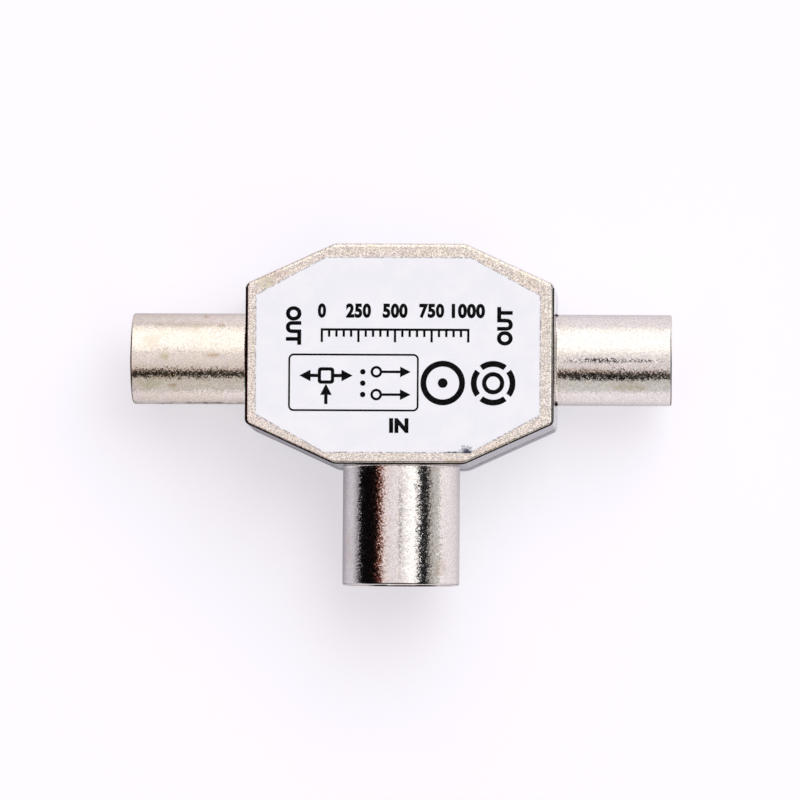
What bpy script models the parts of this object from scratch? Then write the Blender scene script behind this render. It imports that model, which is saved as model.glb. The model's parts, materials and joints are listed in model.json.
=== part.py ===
"""Coaxial tee splitter for aerial leads: one socket in, two plugs out, in a die-cast housing.

Sizes below are in millimetres and the model is built in metres. The frame has its origin on
the back face, under the point where the three port axes meet. +Z points out of the labelled
front, the two outputs lie along X and the input points along -Y.
"""

import math

import bmesh
import bpy
from mathutils import Matrix, Vector

MM = 0.001

# Running and seating clearances
FIT = 0.05
SEAT_GAP = 0.05
GLUE_LINE = 0.01

# Housing: a drafted octagonal tray, open at the back
BODY_WIDTH = 31.9
BODY_HEIGHT = 22.8
BODY_DEPTH = 15.0
BODY_CENTRE_Y = 0.2
CORNER_CUT_X = 9.2
CORNER_CUT_Y = 4.2
SIDE_CORNER_RADIUS = 0.6
END_CORNER_RADIUS = 1.5
CORNER_STEPS = 3
DRAFT_GROWTH = 0.165
FRONT_EDGE_FILLET = 0.4
FILLET_STEPS = 3
BACK_EDGE_BREAK = 0.12
SIDE_WALL = 1.5
FRONT_WALL = 1.5
RIM_WALL = 0.8
REBATE_DEPTH = 1.0
CAVITY_CORNER_RADIUS = 0.3

# Back cover, pressed into the rebate and flush with the rim
COVER_THICKNESS = REBATE_DEPTH - SEAT_GAP
COVER_CLEARANCE = 0.06
COVER_EDGE_BREAK = 0.12

# Front label
LABEL_THICKNESS = 0.1
LABEL_MARGIN_X = 1.22
LABEL_MARGIN_Y = 1.29
LABEL_CUT_LESS_X = 2.0
LABEL_CUT_LESS_Y = 0.27
LABEL_SHIFT_X = -0.16
LABEL_SHIFT_Y = -0.15
LABEL_CORNER_RADIUS = 0.3

# Output plugs: the sleeve outside diameter is the standard 9.5
OUT_REACH = 28.1
OUT_SLEEVE_DIAMETER = 9.5
OUT_SLEEVE_BORE = 8.3
OUT_ROOT_FILLET = 0.3
OUT_RIM_ROUND = 0.22
OUT_RIM_LEAD = 0.15
OUT_DISC_THICKNESS = 2.2
OUT_PIN_DIAMETER = 2.4
OUT_PIN_RECESS = 0.7
OUT_PIN_NOSE = 1.1
OUT_PIN_NOSE_FLAT = 0.35
OUT_PIN_SEAT = 1.0

# Input socket
IN_REACH = 23.6
IN_SHELL_DIAMETER = 12.2
IN_SHELL_BORE = 10.8
IN_ROOT_FILLET = 0.15
IN_RIM_ROUND = 0.25
IN_RIM_LEAD = 0.12
IN_DISC_THICKNESS = 2.0
IN_NOSE_DIAMETER = 7.6
IN_NOSE_RECESS = 1.0
IN_NOSE_ROUND = 0.4
SOCKET_DIAMETER = 3.4
SOCKET_BORE = 2.3
SOCKET_BORE_DEPTH = 8.0
SOCKET_RECESS = 0.4
SOCKET_LEAD = 0.2
SOCKET_SLOT_WIDTH = 0.4
SOCKET_SLOT_DEPTH = 4.5

# Earth sleeve: a sprung ring of bowed fingers inside the input shell
SPRING_THICKNESS = 0.4
SPRING_RING_LENGTH = 2.2
SPRING_TIP_RECESS = 1.2
SPRING_BOW = 0.33
SPRING_BOW_STEPS = 8
SPRING_FINGERS = 6
SPRING_SLOT_WIDTH = 1.0

# What the three ports share
WALL_HOLE_DIAMETER = 6.1
SPIGOT_PROUD = 0.3
TAIL_DIAMETER = 1.2
TAIL_ON_BOARD = 2.2

# Circuit board, copper side to the back, on four cast posts
BOARD_THICKNESS = 1.0
BOARD_CLEARANCE_X = 3.4
BOARD_CLEARANCE_Y = 2.4
BOARD_CORNER = 3.0
POST_DIAMETER = 2.0
POST_ROOT_DIAMETER = 2.4
POST_INSET_X = 1.9
POST_INSET_Y = 2.9
SPIGOT_DIAMETER = 1.0
HOLE_CLEARANCE = 0.06
LEAD_PROUD = 0.5

# Ferrite cores with two holes each, and their windings
CORE_WIDTH = 5.2
CORE_LENGTH = 3.4
CORE_HEIGHT = 2.8
CORE_HOLE_DIAMETER = 1.3
CORE_HOLE_SPACING = 2.4
CORE_EDGE_BREAK = 0.15
MATCHING_CORE_PLACE = (-4.6, 0.65)
SPLITTING_CORE_PLACE = (3.5, 0.9)
WIRE_DIAMETER = 0.26
WIRE_LOOP_REACH = 0.75
WIRE_LEAD_REACH = 1.3
WIRE_LEAD_SPREAD = 1.1
WIRE_LEVEL = 0.3

# Balance resistor between the outputs, and the input capacitor
RESISTOR_LENGTH = 3.6
RESISTOR_DIAMETER = 1.8
RESISTOR_WAIST = 1.5
RESISTOR_CAP_LENGTH = 0.8
RESISTOR_EDGE_DISTANCE = 1.45
RESISTOR_LEAD_SPAN = 6.4
RESISTOR_LIFT = 0.25
CAPACITOR_SIZE = (3.4, 2.0, 2.8)
CAPACITOR_ROUND = 0.6
CAPACITOR_PLACE = (4.2, -4.6)
CAPACITOR_PITCH = 2.0
CAPACITOR_LIFT = 0.5
LEAD_DIAMETER = 0.45
LEAD_BEND = 0.5

# Solder on the copper side
SOLDER_SPREAD = 0.5
SOLDER_CROWN = 0.3
TAIL_SOLDER_LENGTH = 3.0
TAIL_SOLDER_WIDTH = 2.4
TAIL_SOLDER_CROWN = 0.3
TAIL_SOLDER_MOUTH = 0.45

# Facets round each kind of turned piece
PORT_STEPS = 40
PIN_STEPS = 20
WIRE_STEPS = 8
ARC_STEPS = 3
LOOP_STEPS = 4
SMOOTH_ANGLE = math.radians(32)

# Colours, roughness and metal of each finish
FINISHES = {
    "nickel_casting": ((0.72, 0.69, 0.64), 0.30, 1.0),
    "label_film": ((0.88, 0.88, 0.93), 0.35, 0.0),
    "natural_plastic": ((0.88, 0.87, 0.83), 0.42, 0.0),
    "tinned_brass": ((0.70, 0.66, 0.56), 0.28, 1.0),
    "spring_brass": ((0.78, 0.74, 0.66), 0.25, 1.0),
    "board_laminate": ((0.62, 0.45, 0.22), 0.55, 0.0),
    "ferrite": ((0.10, 0.10, 0.11), 0.50, 0.0),
    "enamelled_copper": ((0.55, 0.22, 0.08), 0.30, 0.9),
    "resistor_lacquer": ((0.60, 0.50, 0.36), 0.40, 0.0),
    "capacitor_dip": ((0.75, 0.48, 0.12), 0.40, 0.0),
    "tinned_wire": ((0.72, 0.72, 0.70), 0.25, 1.0),
    "solder": ((0.66, 0.67, 0.68), 0.22, 1.0),
}

# Places worked out from the sizes above
AXIS_HEIGHT = BODY_DEPTH / 2
OUT_WALL = BODY_WIDTH / 2 + DRAFT_GROWTH / 2
IN_WALL = BODY_HEIGHT / 2 - BODY_CENTRE_Y + DRAFT_GROWTH / 2
CAVITY_WIDTH = BODY_WIDTH - 2 * SIDE_WALL
CAVITY_HEIGHT = BODY_HEIGHT - 2 * SIDE_WALL
CAVITY_TOP = BODY_DEPTH - FRONT_WALL
BOARD_WIDTH = CAVITY_WIDTH - 2 * BOARD_CLEARANCE_X
BOARD_HEIGHT = CAVITY_HEIGHT - 2 * BOARD_CLEARANCE_Y
BOARD_BACK = AXIS_HEIGHT + TAIL_DIAMETER / 2 + SEAT_GAP
BOARD_FRONT = BOARD_BACK + BOARD_THICKNESS
BOARD_LOW_Y = BODY_CENTRE_Y - BOARD_HEIGHT / 2
RESISTOR_PLACE = (0.0, BODY_CENTRE_Y + BOARD_HEIGHT / 2 - RESISTOR_EDGE_DISTANCE)
OUT_TAIL_END = BOARD_WIDTH / 2 - TAIL_ON_BOARD
IN_TAIL_END = -BOARD_LOW_Y - TAIL_ON_BOARD
LEAD_END = BOARD_BACK - LEAD_PROUD

# Port directions: each turns the profile axis +Z onto the port's own direction
PORTS = {
    "out_left": Matrix.Rotation(math.radians(-90), 4, "Y"),
    "out_right": Matrix.Rotation(math.radians(90), 4, "Y"),
    "in": Matrix.Rotation(math.radians(90), 4, "X"),
}


def clear_scene():
    """Removes every object that the file opened with."""
    for obj in list(bpy.data.objects):
        bpy.data.objects.remove(obj, do_unlink=True)


def finish_material(name, finish):
    """A Principled material of its own for one piece, from a named finish."""
    colour, roughness, metallic = FINISHES[finish]
    material = bpy.data.materials.new(name)
    material.use_nodes = True
    shader = material.node_tree.nodes["Principled BSDF"]
    shader.inputs["Base Color"].default_value = (*colour, 1.0)
    shader.inputs["Roughness"].default_value = roughness
    shader.inputs["Metallic"].default_value = metallic
    return material


def shade(mesh):
    """Shades round faces smooth and keeps true edges sharp."""
    mesh.shade_smooth()
    mesh.set_sharp_from_angle(angle=SMOOTH_ANGLE)


def add_mesh(name, bm):
    """Writes a bmesh in millimetres as a named object in metres."""
    bmesh.ops.recalc_face_normals(bm, faces=bm.faces)
    bmesh.ops.scale(bm, vec=(MM, MM, MM), verts=bm.verts)
    mesh = bpy.data.meshes.new(name)
    bm.to_mesh(mesh)
    bm.free()
    shade(mesh)
    obj = bpy.data.objects.new(name, mesh)
    bpy.context.scene.collection.objects.link(obj)
    return obj


def add_piece(name, bm, finish):
    """Adds one piece of the splitter, with its own material."""
    piece = add_mesh(name, bm)
    piece.data.materials.append(finish_material(name, finish))
    return piece


def shape_with(piece, bm, operation):
    """Joins or cuts a piece with a tool solid, which is used up."""
    tool = add_mesh(piece.name + "_tool", bm)
    step = piece.modifiers.new("shape", "BOOLEAN")
    step.operation = operation
    step.solver = "EXACT"
    step.object = tool
    seen = piece.evaluated_get(bpy.context.evaluated_depsgraph_get())
    shaped = bpy.data.meshes.new_from_object(seen)
    used = (piece.data, tool.data)
    piece.modifiers.clear()
    piece.data = shaped
    bpy.data.objects.remove(tool)
    for mesh in used:
        bpy.data.meshes.remove(mesh)
    shaped.name = piece.name
    shade(shaped)


def merge(target, source):
    """Adds one bmesh to another as a further closed body, and frees it."""
    mesh = bpy.data.meshes.new("merge")
    source.to_mesh(mesh)
    source.free()
    target.from_mesh(mesh)
    bpy.data.meshes.remove(mesh)


def arc(centre, radius, start, end, steps=ARC_STEPS):
    """Points along an arc in the profile plane, angles in degrees from the first axis."""
    points = []
    for i in range(steps + 1):
        angle = math.radians(start + (end - start) * i / steps)
        points.append((centre[0] + radius * math.cos(angle), centre[1] + radius * math.sin(angle)))
    return points


def revolve(profile, steps):
    """Turns a profile of (distance, radius) points about Z.

    A profile that starts on the axis ends there too; any other is a closed ring section.
    """
    bm = bmesh.new()
    verts = [bm.verts.new((radius, 0, distance)) for distance, radius in profile]
    pairs = list(zip(verts, verts[1:]))
    if profile[0][1] > 0:
        pairs.append((verts[-1], verts[0]))
    edges = [bm.edges.new(pair) for pair in pairs]
    bmesh.ops.spin(
        bm, geom=verts + edges, cent=(0, 0, 0), axis=(0, 0, 1),
        angle=math.tau, steps=steps, use_merge=True,
    )
    bmesh.ops.remove_doubles(bm, verts=bm.verts, dist=1e-5)
    bmesh.ops.recalc_face_normals(bm, faces=bm.faces)
    return bm


def at_port(bm, port):
    """Lays a turned shape along a port's axis."""
    place = Matrix.Translation((0, 0, AXIS_HEIGHT)) @ PORTS[port]
    bmesh.ops.transform(bm, matrix=place, verts=bm.verts)
    return bm


def port_turning(port, profile, steps):
    """A turned shape on a port's axis, its distances counted from where the axes cross."""
    return at_port(revolve(profile, steps), port)


def cylinder(centre, radius, low, high, steps):
    """An upright round rod between two heights."""
    bm = revolve([(low, 0), (low, radius), (high, radius), (high, 0)], steps)
    bmesh.ops.translate(bm, vec=(*centre, 0), verts=bm.verts)
    return bm


def box(size, centre):
    """A rectangular block."""
    bm = bmesh.new()
    bmesh.ops.create_cube(bm, size=1)
    bmesh.ops.scale(bm, vec=size, verts=bm.verts)
    bmesh.ops.translate(bm, vec=centre, verts=bm.verts)
    return bm


def octagon(width, height, cut_x, cut_y, centre):
    """Corners of an octagon, counter-clockwise from the lower right side corner."""
    x, y = width / 2, height / 2
    quarter = [(x, -y + cut_y), (x, y - cut_y), (x - cut_x, y), (-x + cut_x, y)]
    corners = quarter + [(-px, -py) for px, py in quarter]
    return [Vector((px + centre[0], py + centre[1])) for px, py in corners]


def inset(corners, distance):
    """Moves every side of a convex outline inwards by a distance."""
    moved = []
    count = len(corners)
    for i, corner in enumerate(corners):
        before = (corner - corners[i - 1]).normalized()
        after = (corners[(i + 1) % count] - corner).normalized()
        normal_before = Vector((-before.y, before.x))
        normal_after = Vector((-after.y, after.x))
        bisector = (normal_before + normal_after).normalized()
        moved.append(corner + bisector * (distance / bisector.dot(normal_before)))
    return moved


def round_corners(corners, radii, steps=CORNER_STEPS):
    """Replaces each corner of a convex outline by a tangent arc."""
    outline = []
    count = len(corners)
    for i, corner in enumerate(corners):
        before = (corners[i - 1] - corner).normalized()
        after = (corners[(i + 1) % count] - corner).normalized()
        half = before.angle(after) / 2
        centre = corner + (before + after).normalized() * (radii[i] / math.sin(half))
        first = corner + before * (radii[i] / math.tan(half)) - centre
        turn = math.pi - 2 * half
        for j in range(steps + 1):
            angle = turn * j / steps
            cos, sin = math.cos(angle), math.sin(angle)
            outline.append(centre + Vector((first.x * cos - first.y * sin, first.x * sin + first.y * cos)))
    return outline


def loft(rings):
    """Skins (outline, height) rings of equal point count, and closes the first and last."""
    bm = bmesh.new()
    loops = [[bm.verts.new((p.x, p.y, height)) for p in outline] for outline, height in rings]
    for lower, upper in zip(loops, loops[1:]):
        count = len(lower)
        for i in range(count):
            j = (i + 1) % count
            bm.faces.new((lower[i], lower[j], upper[j], upper[i]))
    bm.faces.new(loops[0])
    bm.faces.new(loops[-1])
    bmesh.ops.recalc_face_normals(bm, faces=bm.faces)
    return bm


def body_section(height, depth_in, side_radius, end_radius):
    """The housing's drafted outline at a height, a distance in from its outer skin."""
    growth = DRAFT_GROWTH * (1 - height / BODY_DEPTH)
    corners = octagon(BODY_WIDTH, BODY_HEIGHT, CORNER_CUT_X, CORNER_CUT_Y, (0, BODY_CENTRE_Y))
    radii = [side_radius, side_radius, end_radius, end_radius] * 2
    return round_corners(inset(corners, depth_in - growth), radii), height


def outer_section(height, depth_in):
    """A section of the outer skin, with its own corner radii."""
    return body_section(height, depth_in, SIDE_CORNER_RADIUS, END_CORNER_RADIUS)


def inner_section(height, depth_in):
    """A section of the cavity, the rebate or the cover."""
    return body_section(height, depth_in, CAVITY_CORNER_RADIUS, CAVITY_CORNER_RADIUS)


def housing_shell():
    """The cast tray: front face, drafted sides, rim, cover rebate and cavity as one skin."""
    rings = []
    for inwards, up in arc((FRONT_EDGE_FILLET, -FRONT_EDGE_FILLET), FRONT_EDGE_FILLET, 90, 180, FILLET_STEPS):
        rings.append(outer_section(BODY_DEPTH + up, inwards))
    rings.append(outer_section(BACK_EDGE_BREAK, 0))
    rings.append(outer_section(0, BACK_EDGE_BREAK))
    rings.append(inner_section(0, RIM_WALL))
    rings.append(inner_section(REBATE_DEPTH, RIM_WALL))
    rings.append(inner_section(REBATE_DEPTH, SIDE_WALL))
    rings.append(inner_section(CAVITY_TOP, SIDE_WALL))
    return loft(rings)


def port_stub(port, wall, reach, diameter, root_fillet, rim_round):
    """The outside of a port: root fillet, straight sleeve and rounded rim."""
    radius = diameter / 2
    start = wall - SIDE_WALL / 2
    profile = [(start, 0), (start, radius + root_fillet)]
    profile += arc((wall + root_fillet, radius + root_fillet), root_fillet, 180, 270)
    profile += arc((reach - rim_round, radius - rim_round), rim_round, 90, 0)
    profile.append((reach, 0))
    return port_turning(port, profile, PORT_STEPS)


def port_bore(port, wall, reach, diameter, lead):
    """The inside of a port: chamfered mouth, bore, floor and the hole through the wall."""
    inside = wall - 2 * SIDE_WALL
    hole, radius = WALL_HOLE_DIAMETER / 2, diameter / 2
    outside = reach + lead
    profile = [
        (inside, 0), (inside, hole), (wall, hole), (wall, radius),
        (reach - lead, radius), (outside, radius + 2 * lead), (outside, 0),
    ]
    return port_turning(port, profile, PORT_STEPS)


def post_places():
    """Plan places of the four cast posts, the two that carry earth spigots first."""
    x = BOARD_WIDTH / 2 - POST_INSET_X
    y = BOARD_HEIGHT / 2 - POST_INSET_Y
    return [(sx * x, BODY_CENTRE_Y + sy * y) for sx, sy in ((-1, -1), (1, 1), (-1, 1), (1, -1))]


def board_post(place, has_spigot):
    """A tapered post from the front wall to the board, some with a spigot through it."""
    top, seat = CAVITY_TOP + FRONT_WALL / 2, BOARD_FRONT + SEAT_GAP
    profile = [(top, 0), (top, POST_ROOT_DIAMETER / 2), (seat, POST_DIAMETER / 2)]
    if has_spigot:
        profile += [(seat, SPIGOT_DIAMETER / 2), (LEAD_END, SPIGOT_DIAMETER / 2), (LEAD_END, 0)]
    else:
        profile.append((seat, 0))
    bm = revolve(profile, PIN_STEPS)
    bmesh.ops.translate(bm, vec=(*place, 0), verts=bm.verts)
    return bm


def make_housing():
    """Die-cast housing with its three sleeves and four posts, all one casting."""
    housing = add_piece("housing", housing_shell(), "nickel_casting")
    stubs, bores, posts = bmesh.new(), bmesh.new(), bmesh.new()
    out_stub = (OUT_WALL, OUT_REACH, OUT_SLEEVE_DIAMETER, OUT_ROOT_FILLET, OUT_RIM_ROUND)
    for port in ("out_left", "out_right"):
        merge(stubs, port_stub(port, *out_stub))
        merge(bores, port_bore(port, OUT_WALL, OUT_REACH, OUT_SLEEVE_BORE, OUT_RIM_LEAD))
    merge(stubs, port_stub("in", IN_WALL, IN_REACH, IN_SHELL_DIAMETER, IN_ROOT_FILLET, IN_RIM_ROUND))
    merge(bores, port_bore("in", IN_WALL, IN_REACH, IN_SHELL_BORE, IN_RIM_LEAD))
    for i, place in enumerate(post_places()):
        merge(posts, board_post(place, has_spigot=i < 2))
    shape_with(housing, stubs, "UNION")
    shape_with(housing, posts, "UNION")
    shape_with(housing, bores, "DIFFERENCE")


def make_back_cover():
    """Flat plate that closes the housing, flush with its rim."""
    edge = RIM_WALL + COVER_CLEARANCE
    rings = [
        inner_section(0, edge + COVER_EDGE_BREAK),
        inner_section(COVER_EDGE_BREAK, edge),
        inner_section(COVER_THICKNESS, edge),
    ]
    add_piece("back_cover", loft(rings), "nickel_casting")


def make_label():
    """Self-adhesive film on the front face, a step inside the body's own outline."""
    corners = octagon(
        BODY_WIDTH - 2 * LABEL_MARGIN_X, BODY_HEIGHT - 2 * LABEL_MARGIN_Y,
        CORNER_CUT_X - LABEL_CUT_LESS_X, CORNER_CUT_Y - LABEL_CUT_LESS_Y,
        (LABEL_SHIFT_X, BODY_CENTRE_Y + LABEL_SHIFT_Y),
    )
    outline = round_corners(corners, [LABEL_CORNER_RADIUS] * len(corners))
    low = BODY_DEPTH + GLUE_LINE
    add_piece("label", loft([(outline, low), (outline, low + LABEL_THICKNESS)]), "label_film")


def make_output(port):
    """Centre pin and plastic insulator of one output plug."""
    disc_back = OUT_WALL + SEAT_GAP
    disc_face = disc_back + OUT_DISC_THICKNESS
    spigot_end = OUT_WALL - SIDE_WALL - SPIGOT_PROUD
    seat = disc_face - OUT_PIN_SEAT
    disc, spigot = OUT_SLEEVE_BORE / 2 - FIT, WALL_HOLE_DIAMETER / 2 - FIT
    pin, tail = OUT_PIN_DIAMETER / 2, TAIL_DIAMETER / 2
    insulator = [
        (spigot_end, tail + FIT), (spigot_end, spigot), (disc_back, spigot), (disc_back, disc),
        (disc_face, disc), (disc_face, pin + FIT), (seat, pin + FIT), (seat, tail + FIT),
    ]
    add_piece(port + "_insulator", port_turning(port, insulator, PORT_STEPS), "natural_plastic")
    tip = OUT_REACH - OUT_PIN_RECESS
    shoulder = seat + SEAT_GAP
    contact = [(OUT_TAIL_END, 0), (OUT_TAIL_END, tail), (shoulder, tail), (shoulder, pin)]
    for i in range(2 * ARC_STEPS + 1):
        angle = math.pi / 2 * i / (2 * ARC_STEPS)
        along = tip - OUT_PIN_NOSE + OUT_PIN_NOSE * math.sin(angle)
        contact.append((along, OUT_PIN_NOSE_FLAT + (pin - OUT_PIN_NOSE_FLAT) * math.cos(angle)))
    contact.append((tip, 0))
    add_piece(port + "_pin", port_turning(port, contact, PIN_STEPS), "tinned_brass")


def make_input_insulator(contact_seat):
    """Plastic nose that carries the input's centre contact."""
    disc_back = IN_WALL + SEAT_GAP
    disc_face = disc_back + IN_DISC_THICKNESS
    face = IN_REACH - IN_NOSE_RECESS
    spigot_end = IN_WALL - SIDE_WALL - SPIGOT_PROUD
    disc = IN_SHELL_BORE / 2 - FIT - SPRING_THICKNESS - FIT
    spigot, nose = WALL_HOLE_DIAMETER / 2 - FIT, IN_NOSE_DIAMETER / 2
    tail, contact = TAIL_DIAMETER / 2 + FIT, SOCKET_DIAMETER / 2 + FIT
    profile = [(spigot_end, tail), (spigot_end, spigot), (disc_back, spigot), (disc_back, disc)]
    profile += [(disc_face, disc), (disc_face, nose)]
    profile += arc((face - IN_NOSE_ROUND, nose - IN_NOSE_ROUND), IN_NOSE_ROUND, 90, 0)
    profile += [(face, contact), (contact_seat, contact), (contact_seat, tail)]
    add_piece("in_insulator", port_turning("in", profile, PORT_STEPS), "natural_plastic")


def make_socket_contact(contact_seat):
    """Slotted tube that grips the pin of the lead plugged into the input."""
    base = contact_seat + SEAT_GAP
    mouth = IN_REACH - IN_NOSE_RECESS - SOCKET_RECESS
    outer, bore, tail = SOCKET_DIAMETER / 2, SOCKET_BORE / 2, TAIL_DIAMETER / 2
    profile = [
        (IN_TAIL_END, 0), (IN_TAIL_END, tail), (base, tail), (base, outer),
        (mouth - SOCKET_LEAD / 2, outer), (mouth, outer - SOCKET_LEAD / 2),
        (mouth, bore + SOCKET_LEAD), (mouth - SOCKET_LEAD, bore),
        (mouth - SOCKET_BORE_DEPTH, bore), (mouth - SOCKET_BORE_DEPTH, 0),
    ]
    socket = add_piece("in_socket_contact", port_turning("in", profile, PIN_STEPS), "tinned_brass")
    across = SOCKET_DIAMETER + 2 * SOCKET_SLOT_WIDTH
    length = SOCKET_SLOT_DEPTH + SOCKET_SLOT_WIDTH
    middle = mouth - SOCKET_SLOT_DEPTH + length / 2
    for size in ((across, SOCKET_SLOT_WIDTH, length), (SOCKET_SLOT_WIDTH, across, length)):
        shape_with(socket, at_port(box(size, (0, 0, middle)), "in"), "DIFFERENCE")


def make_earth_sleeve():
    """Sprung sleeve whose bowed fingers grip the outside of the lead's plug."""
    start = IN_WALL + SEAT_GAP
    ring_end = start + SPRING_RING_LENGTH
    tip = IN_REACH - SPRING_TIP_RECESS
    radius = IN_SHELL_BORE / 2 - FIT
    outer = [(start, radius)]
    for i in range(SPRING_BOW_STEPS + 1):
        share = i / SPRING_BOW_STEPS
        outer.append((ring_end + (tip - ring_end) * share, radius - SPRING_BOW * math.sin(math.pi * share)))
    inner = [(distance, r - SPRING_THICKNESS) for distance, r in reversed(outer)]
    sleeve = add_piece("in_earth_sleeve", port_turning("in", outer + inner, PORT_STEPS), "spring_brass")
    slots = bmesh.new()
    length = tip - ring_end + SPRING_SLOT_WIDTH
    for i in range(SPRING_FINGERS):
        slot = box((radius, SPRING_SLOT_WIDTH, length), (radius, 0, ring_end + length / 2))
        turn = Matrix.Rotation(math.tau * (i + 0.5) / SPRING_FINGERS, 4, "Z")
        bmesh.ops.transform(slot, matrix=turn, verts=slot.verts)
        merge(slots, slot)
    shape_with(sleeve, at_port(slots, "in"), "DIFFERENCE")


def core_lead_places(place, windings):
    """Plan places where a core's winding ends go through the board, two for each winding."""
    x, y = place
    places = []
    for side in ((-1,), (-1, 1))[windings - 1]:
        near = y + side * (CORE_LENGTH / 2 + WIRE_LEAD_REACH)
        half = CORE_HOLE_SPACING / 2 + WIRE_LEAD_SPREAD
        places.append(((x - half, near), (x + half, near)))
    return places


def resistor_lead_places():
    """Plan places of the resistor's two leads."""
    x, y = RESISTOR_PLACE
    return [(x - RESISTOR_LEAD_SPAN / 2, y), (x + RESISTOR_LEAD_SPAN / 2, y)]


def capacitor_lead_places():
    """Plan places of the capacitor's two leads."""
    x, y = CAPACITOR_PLACE
    return [(x - CAPACITOR_PITCH / 2, y), (x + CAPACITOR_PITCH / 2, y)]


def soldered_leads():
    """Every lead that passes through the board: name, plan place and wire diameter."""
    leads = []
    for name, places, diameter in (
        ("resistor", resistor_lead_places(), LEAD_DIAMETER),
        ("capacitor", capacitor_lead_places(), LEAD_DIAMETER),
        ("matching", core_lead_places(MATCHING_CORE_PLACE, 1)[0], WIRE_DIAMETER),
        ("splitting_lower", core_lead_places(SPLITTING_CORE_PLACE, 2)[0], WIRE_DIAMETER),
        ("splitting_upper", core_lead_places(SPLITTING_CORE_PLACE, 2)[1], WIRE_DIAMETER),
    ):
        for side, place in zip(("left", "right"), places):
            leads.append((name + "_" + side, place, diameter))
    return leads


def make_circuit_board():
    """Laminate board, drilled for the leads and the two earth spigots."""
    corners = octagon(BOARD_WIDTH, BOARD_HEIGHT, BOARD_CORNER, BOARD_CORNER, (0, BODY_CENTRE_Y))
    blank = loft([(corners, BOARD_BACK), (corners, BOARD_FRONT)])
    board = add_piece("circuit_board", blank, "board_laminate")
    holes = bmesh.new()
    low, high = BOARD_BACK - BOARD_THICKNESS, BOARD_FRONT + BOARD_THICKNESS
    for place in post_places()[:2]:
        merge(holes, cylinder(place, SPIGOT_DIAMETER / 2 + HOLE_CLEARANCE, low, high, PIN_STEPS))
    for _, place, diameter in soldered_leads():
        merge(holes, cylinder(place, diameter / 2 + HOLE_CLEARANCE, low, high, WIRE_STEPS))
    shape_with(board, holes, "DIFFERENCE")


def make_core(name, place):
    """Ferrite block with round ends and two holes along Y."""
    half_flat = (CORE_WIDTH - CORE_HEIGHT) / 2
    radius = CORE_HEIGHT / 2

    def outline(depth_in):
        points = arc((half_flat, 0), radius - depth_in, -90, 90, 2 * ARC_STEPS)
        points += arc((-half_flat, 0), radius - depth_in, 90, 270, 2 * ARC_STEPS)
        return [Vector(point) for point in points]

    half = CORE_LENGTH / 2
    edge = half - CORE_EDGE_BREAK
    rings = [
        (outline(CORE_EDGE_BREAK), -half), (outline(0), -edge),
        (outline(0), edge), (outline(CORE_EDGE_BREAK), half),
    ]
    lay = Matrix.Translation((*place, BOARD_FRONT + SEAT_GAP + radius)) @ Matrix.Rotation(math.pi / 2, 4, "X")
    bm = loft(rings)
    bmesh.ops.transform(bm, matrix=lay, verts=bm.verts)
    core = add_piece(name, bm, "ferrite")
    holes = bmesh.new()
    for x in (-CORE_HOLE_SPACING / 2, CORE_HOLE_SPACING / 2):
        merge(holes, cylinder((x, 0), CORE_HOLE_DIAMETER / 2, -CORE_LENGTH, CORE_LENGTH, PIN_STEPS))
    bmesh.ops.transform(holes, matrix=lay, verts=holes.verts)
    shape_with(core, holes, "DIFFERENCE")


def half_loop(start, end, reach):
    """Points of a half ellipse that leaves start along Y, bulges by reach and comes back at end."""
    middle, half = (start + end) / 2, (start - end) / 2
    points = []
    for i in range(1, 2 * LOOP_STEPS):
        angle = math.pi * i / (2 * LOOP_STEPS)
        height = half.z * (1 - 2 * angle / math.pi)
        points.append(middle + Vector((half.x * math.cos(angle), reach * math.sin(angle), height)))
    return points


def curved_run(points):
    """A cubic run through space from the first of four points to the last."""
    a, b, c, d = points
    run = []
    for i in range(LOOP_STEPS + 1):
        t = i / LOOP_STEPS
        run.append(a * (1 - t) ** 3 + b * 3 * t * (1 - t) ** 2 + c * 3 * t * t * (1 - t) + d * t**3)
    return run


def wire(name, path, diameter, finish):
    """A round wire along a path of points, with closed ends."""
    curve = bpy.data.curves.new(name, "CURVE")
    curve.dimensions = "3D"
    curve.bevel_depth = diameter / 2 * MM
    curve.bevel_resolution = 1
    curve.use_fill_caps = True
    spline = curve.splines.new("POLY")
    spline.points.add(len(path) - 1)
    for point, place in zip(spline.points, path):
        point.co = (*(place * MM), 1)
    curve.materials.append(finish_material(name, finish))
    bpy.context.scene.collection.objects.link(bpy.data.objects.new(name, curve))


def winding_lead(start, end, side):
    """A winding's end: out of the core along Y, over and down through the board."""
    out = Vector((0, side * WIRE_LEAD_REACH, 0))
    x, y = end
    board = Vector((x, y, BOARD_FRONT))
    rise = Vector((0, 0, (start.z - BOARD_FRONT) / 2))
    return curved_run([start, start + out, board + rise, board]) + [Vector((x, y, LEAD_END))]


def make_winding(name, place, side, levels, ends):
    """Turns of wire through a core's two holes, one for each level inside the holes.

    side is -1 for ends towards -Y and 1 for +Y, and a level is a height from the core's middle.
    """
    x, y = place
    middle = BOARD_FRONT + SEAT_GAP + CORE_HEIGHT / 2
    left, right = x - CORE_HOLE_SPACING / 2, x + CORE_HOLE_SPACING / 2
    near, far = y + side * CORE_LENGTH / 2, y - side * CORE_LENGTH / 2
    path = []
    for i, level in enumerate(levels):
        z = middle + level
        turn = [Vector((px, py, z)) for px, py in ((left, near), (left, far), (right, far), (right, near))]
        if i > 0:
            path += half_loop(path[-1], turn[0], side * WIRE_LOOP_REACH)
        path += turn[:2] + half_loop(turn[1], turn[2], -side * WIRE_LOOP_REACH) + turn[2:]
    first = winding_lead(path[0], ends[0], side)
    last = winding_lead(path[-1], ends[1], side)
    wire(name, first[:0:-1] + path + last[1:], WIRE_DIAMETER, "enamelled_copper")


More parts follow.
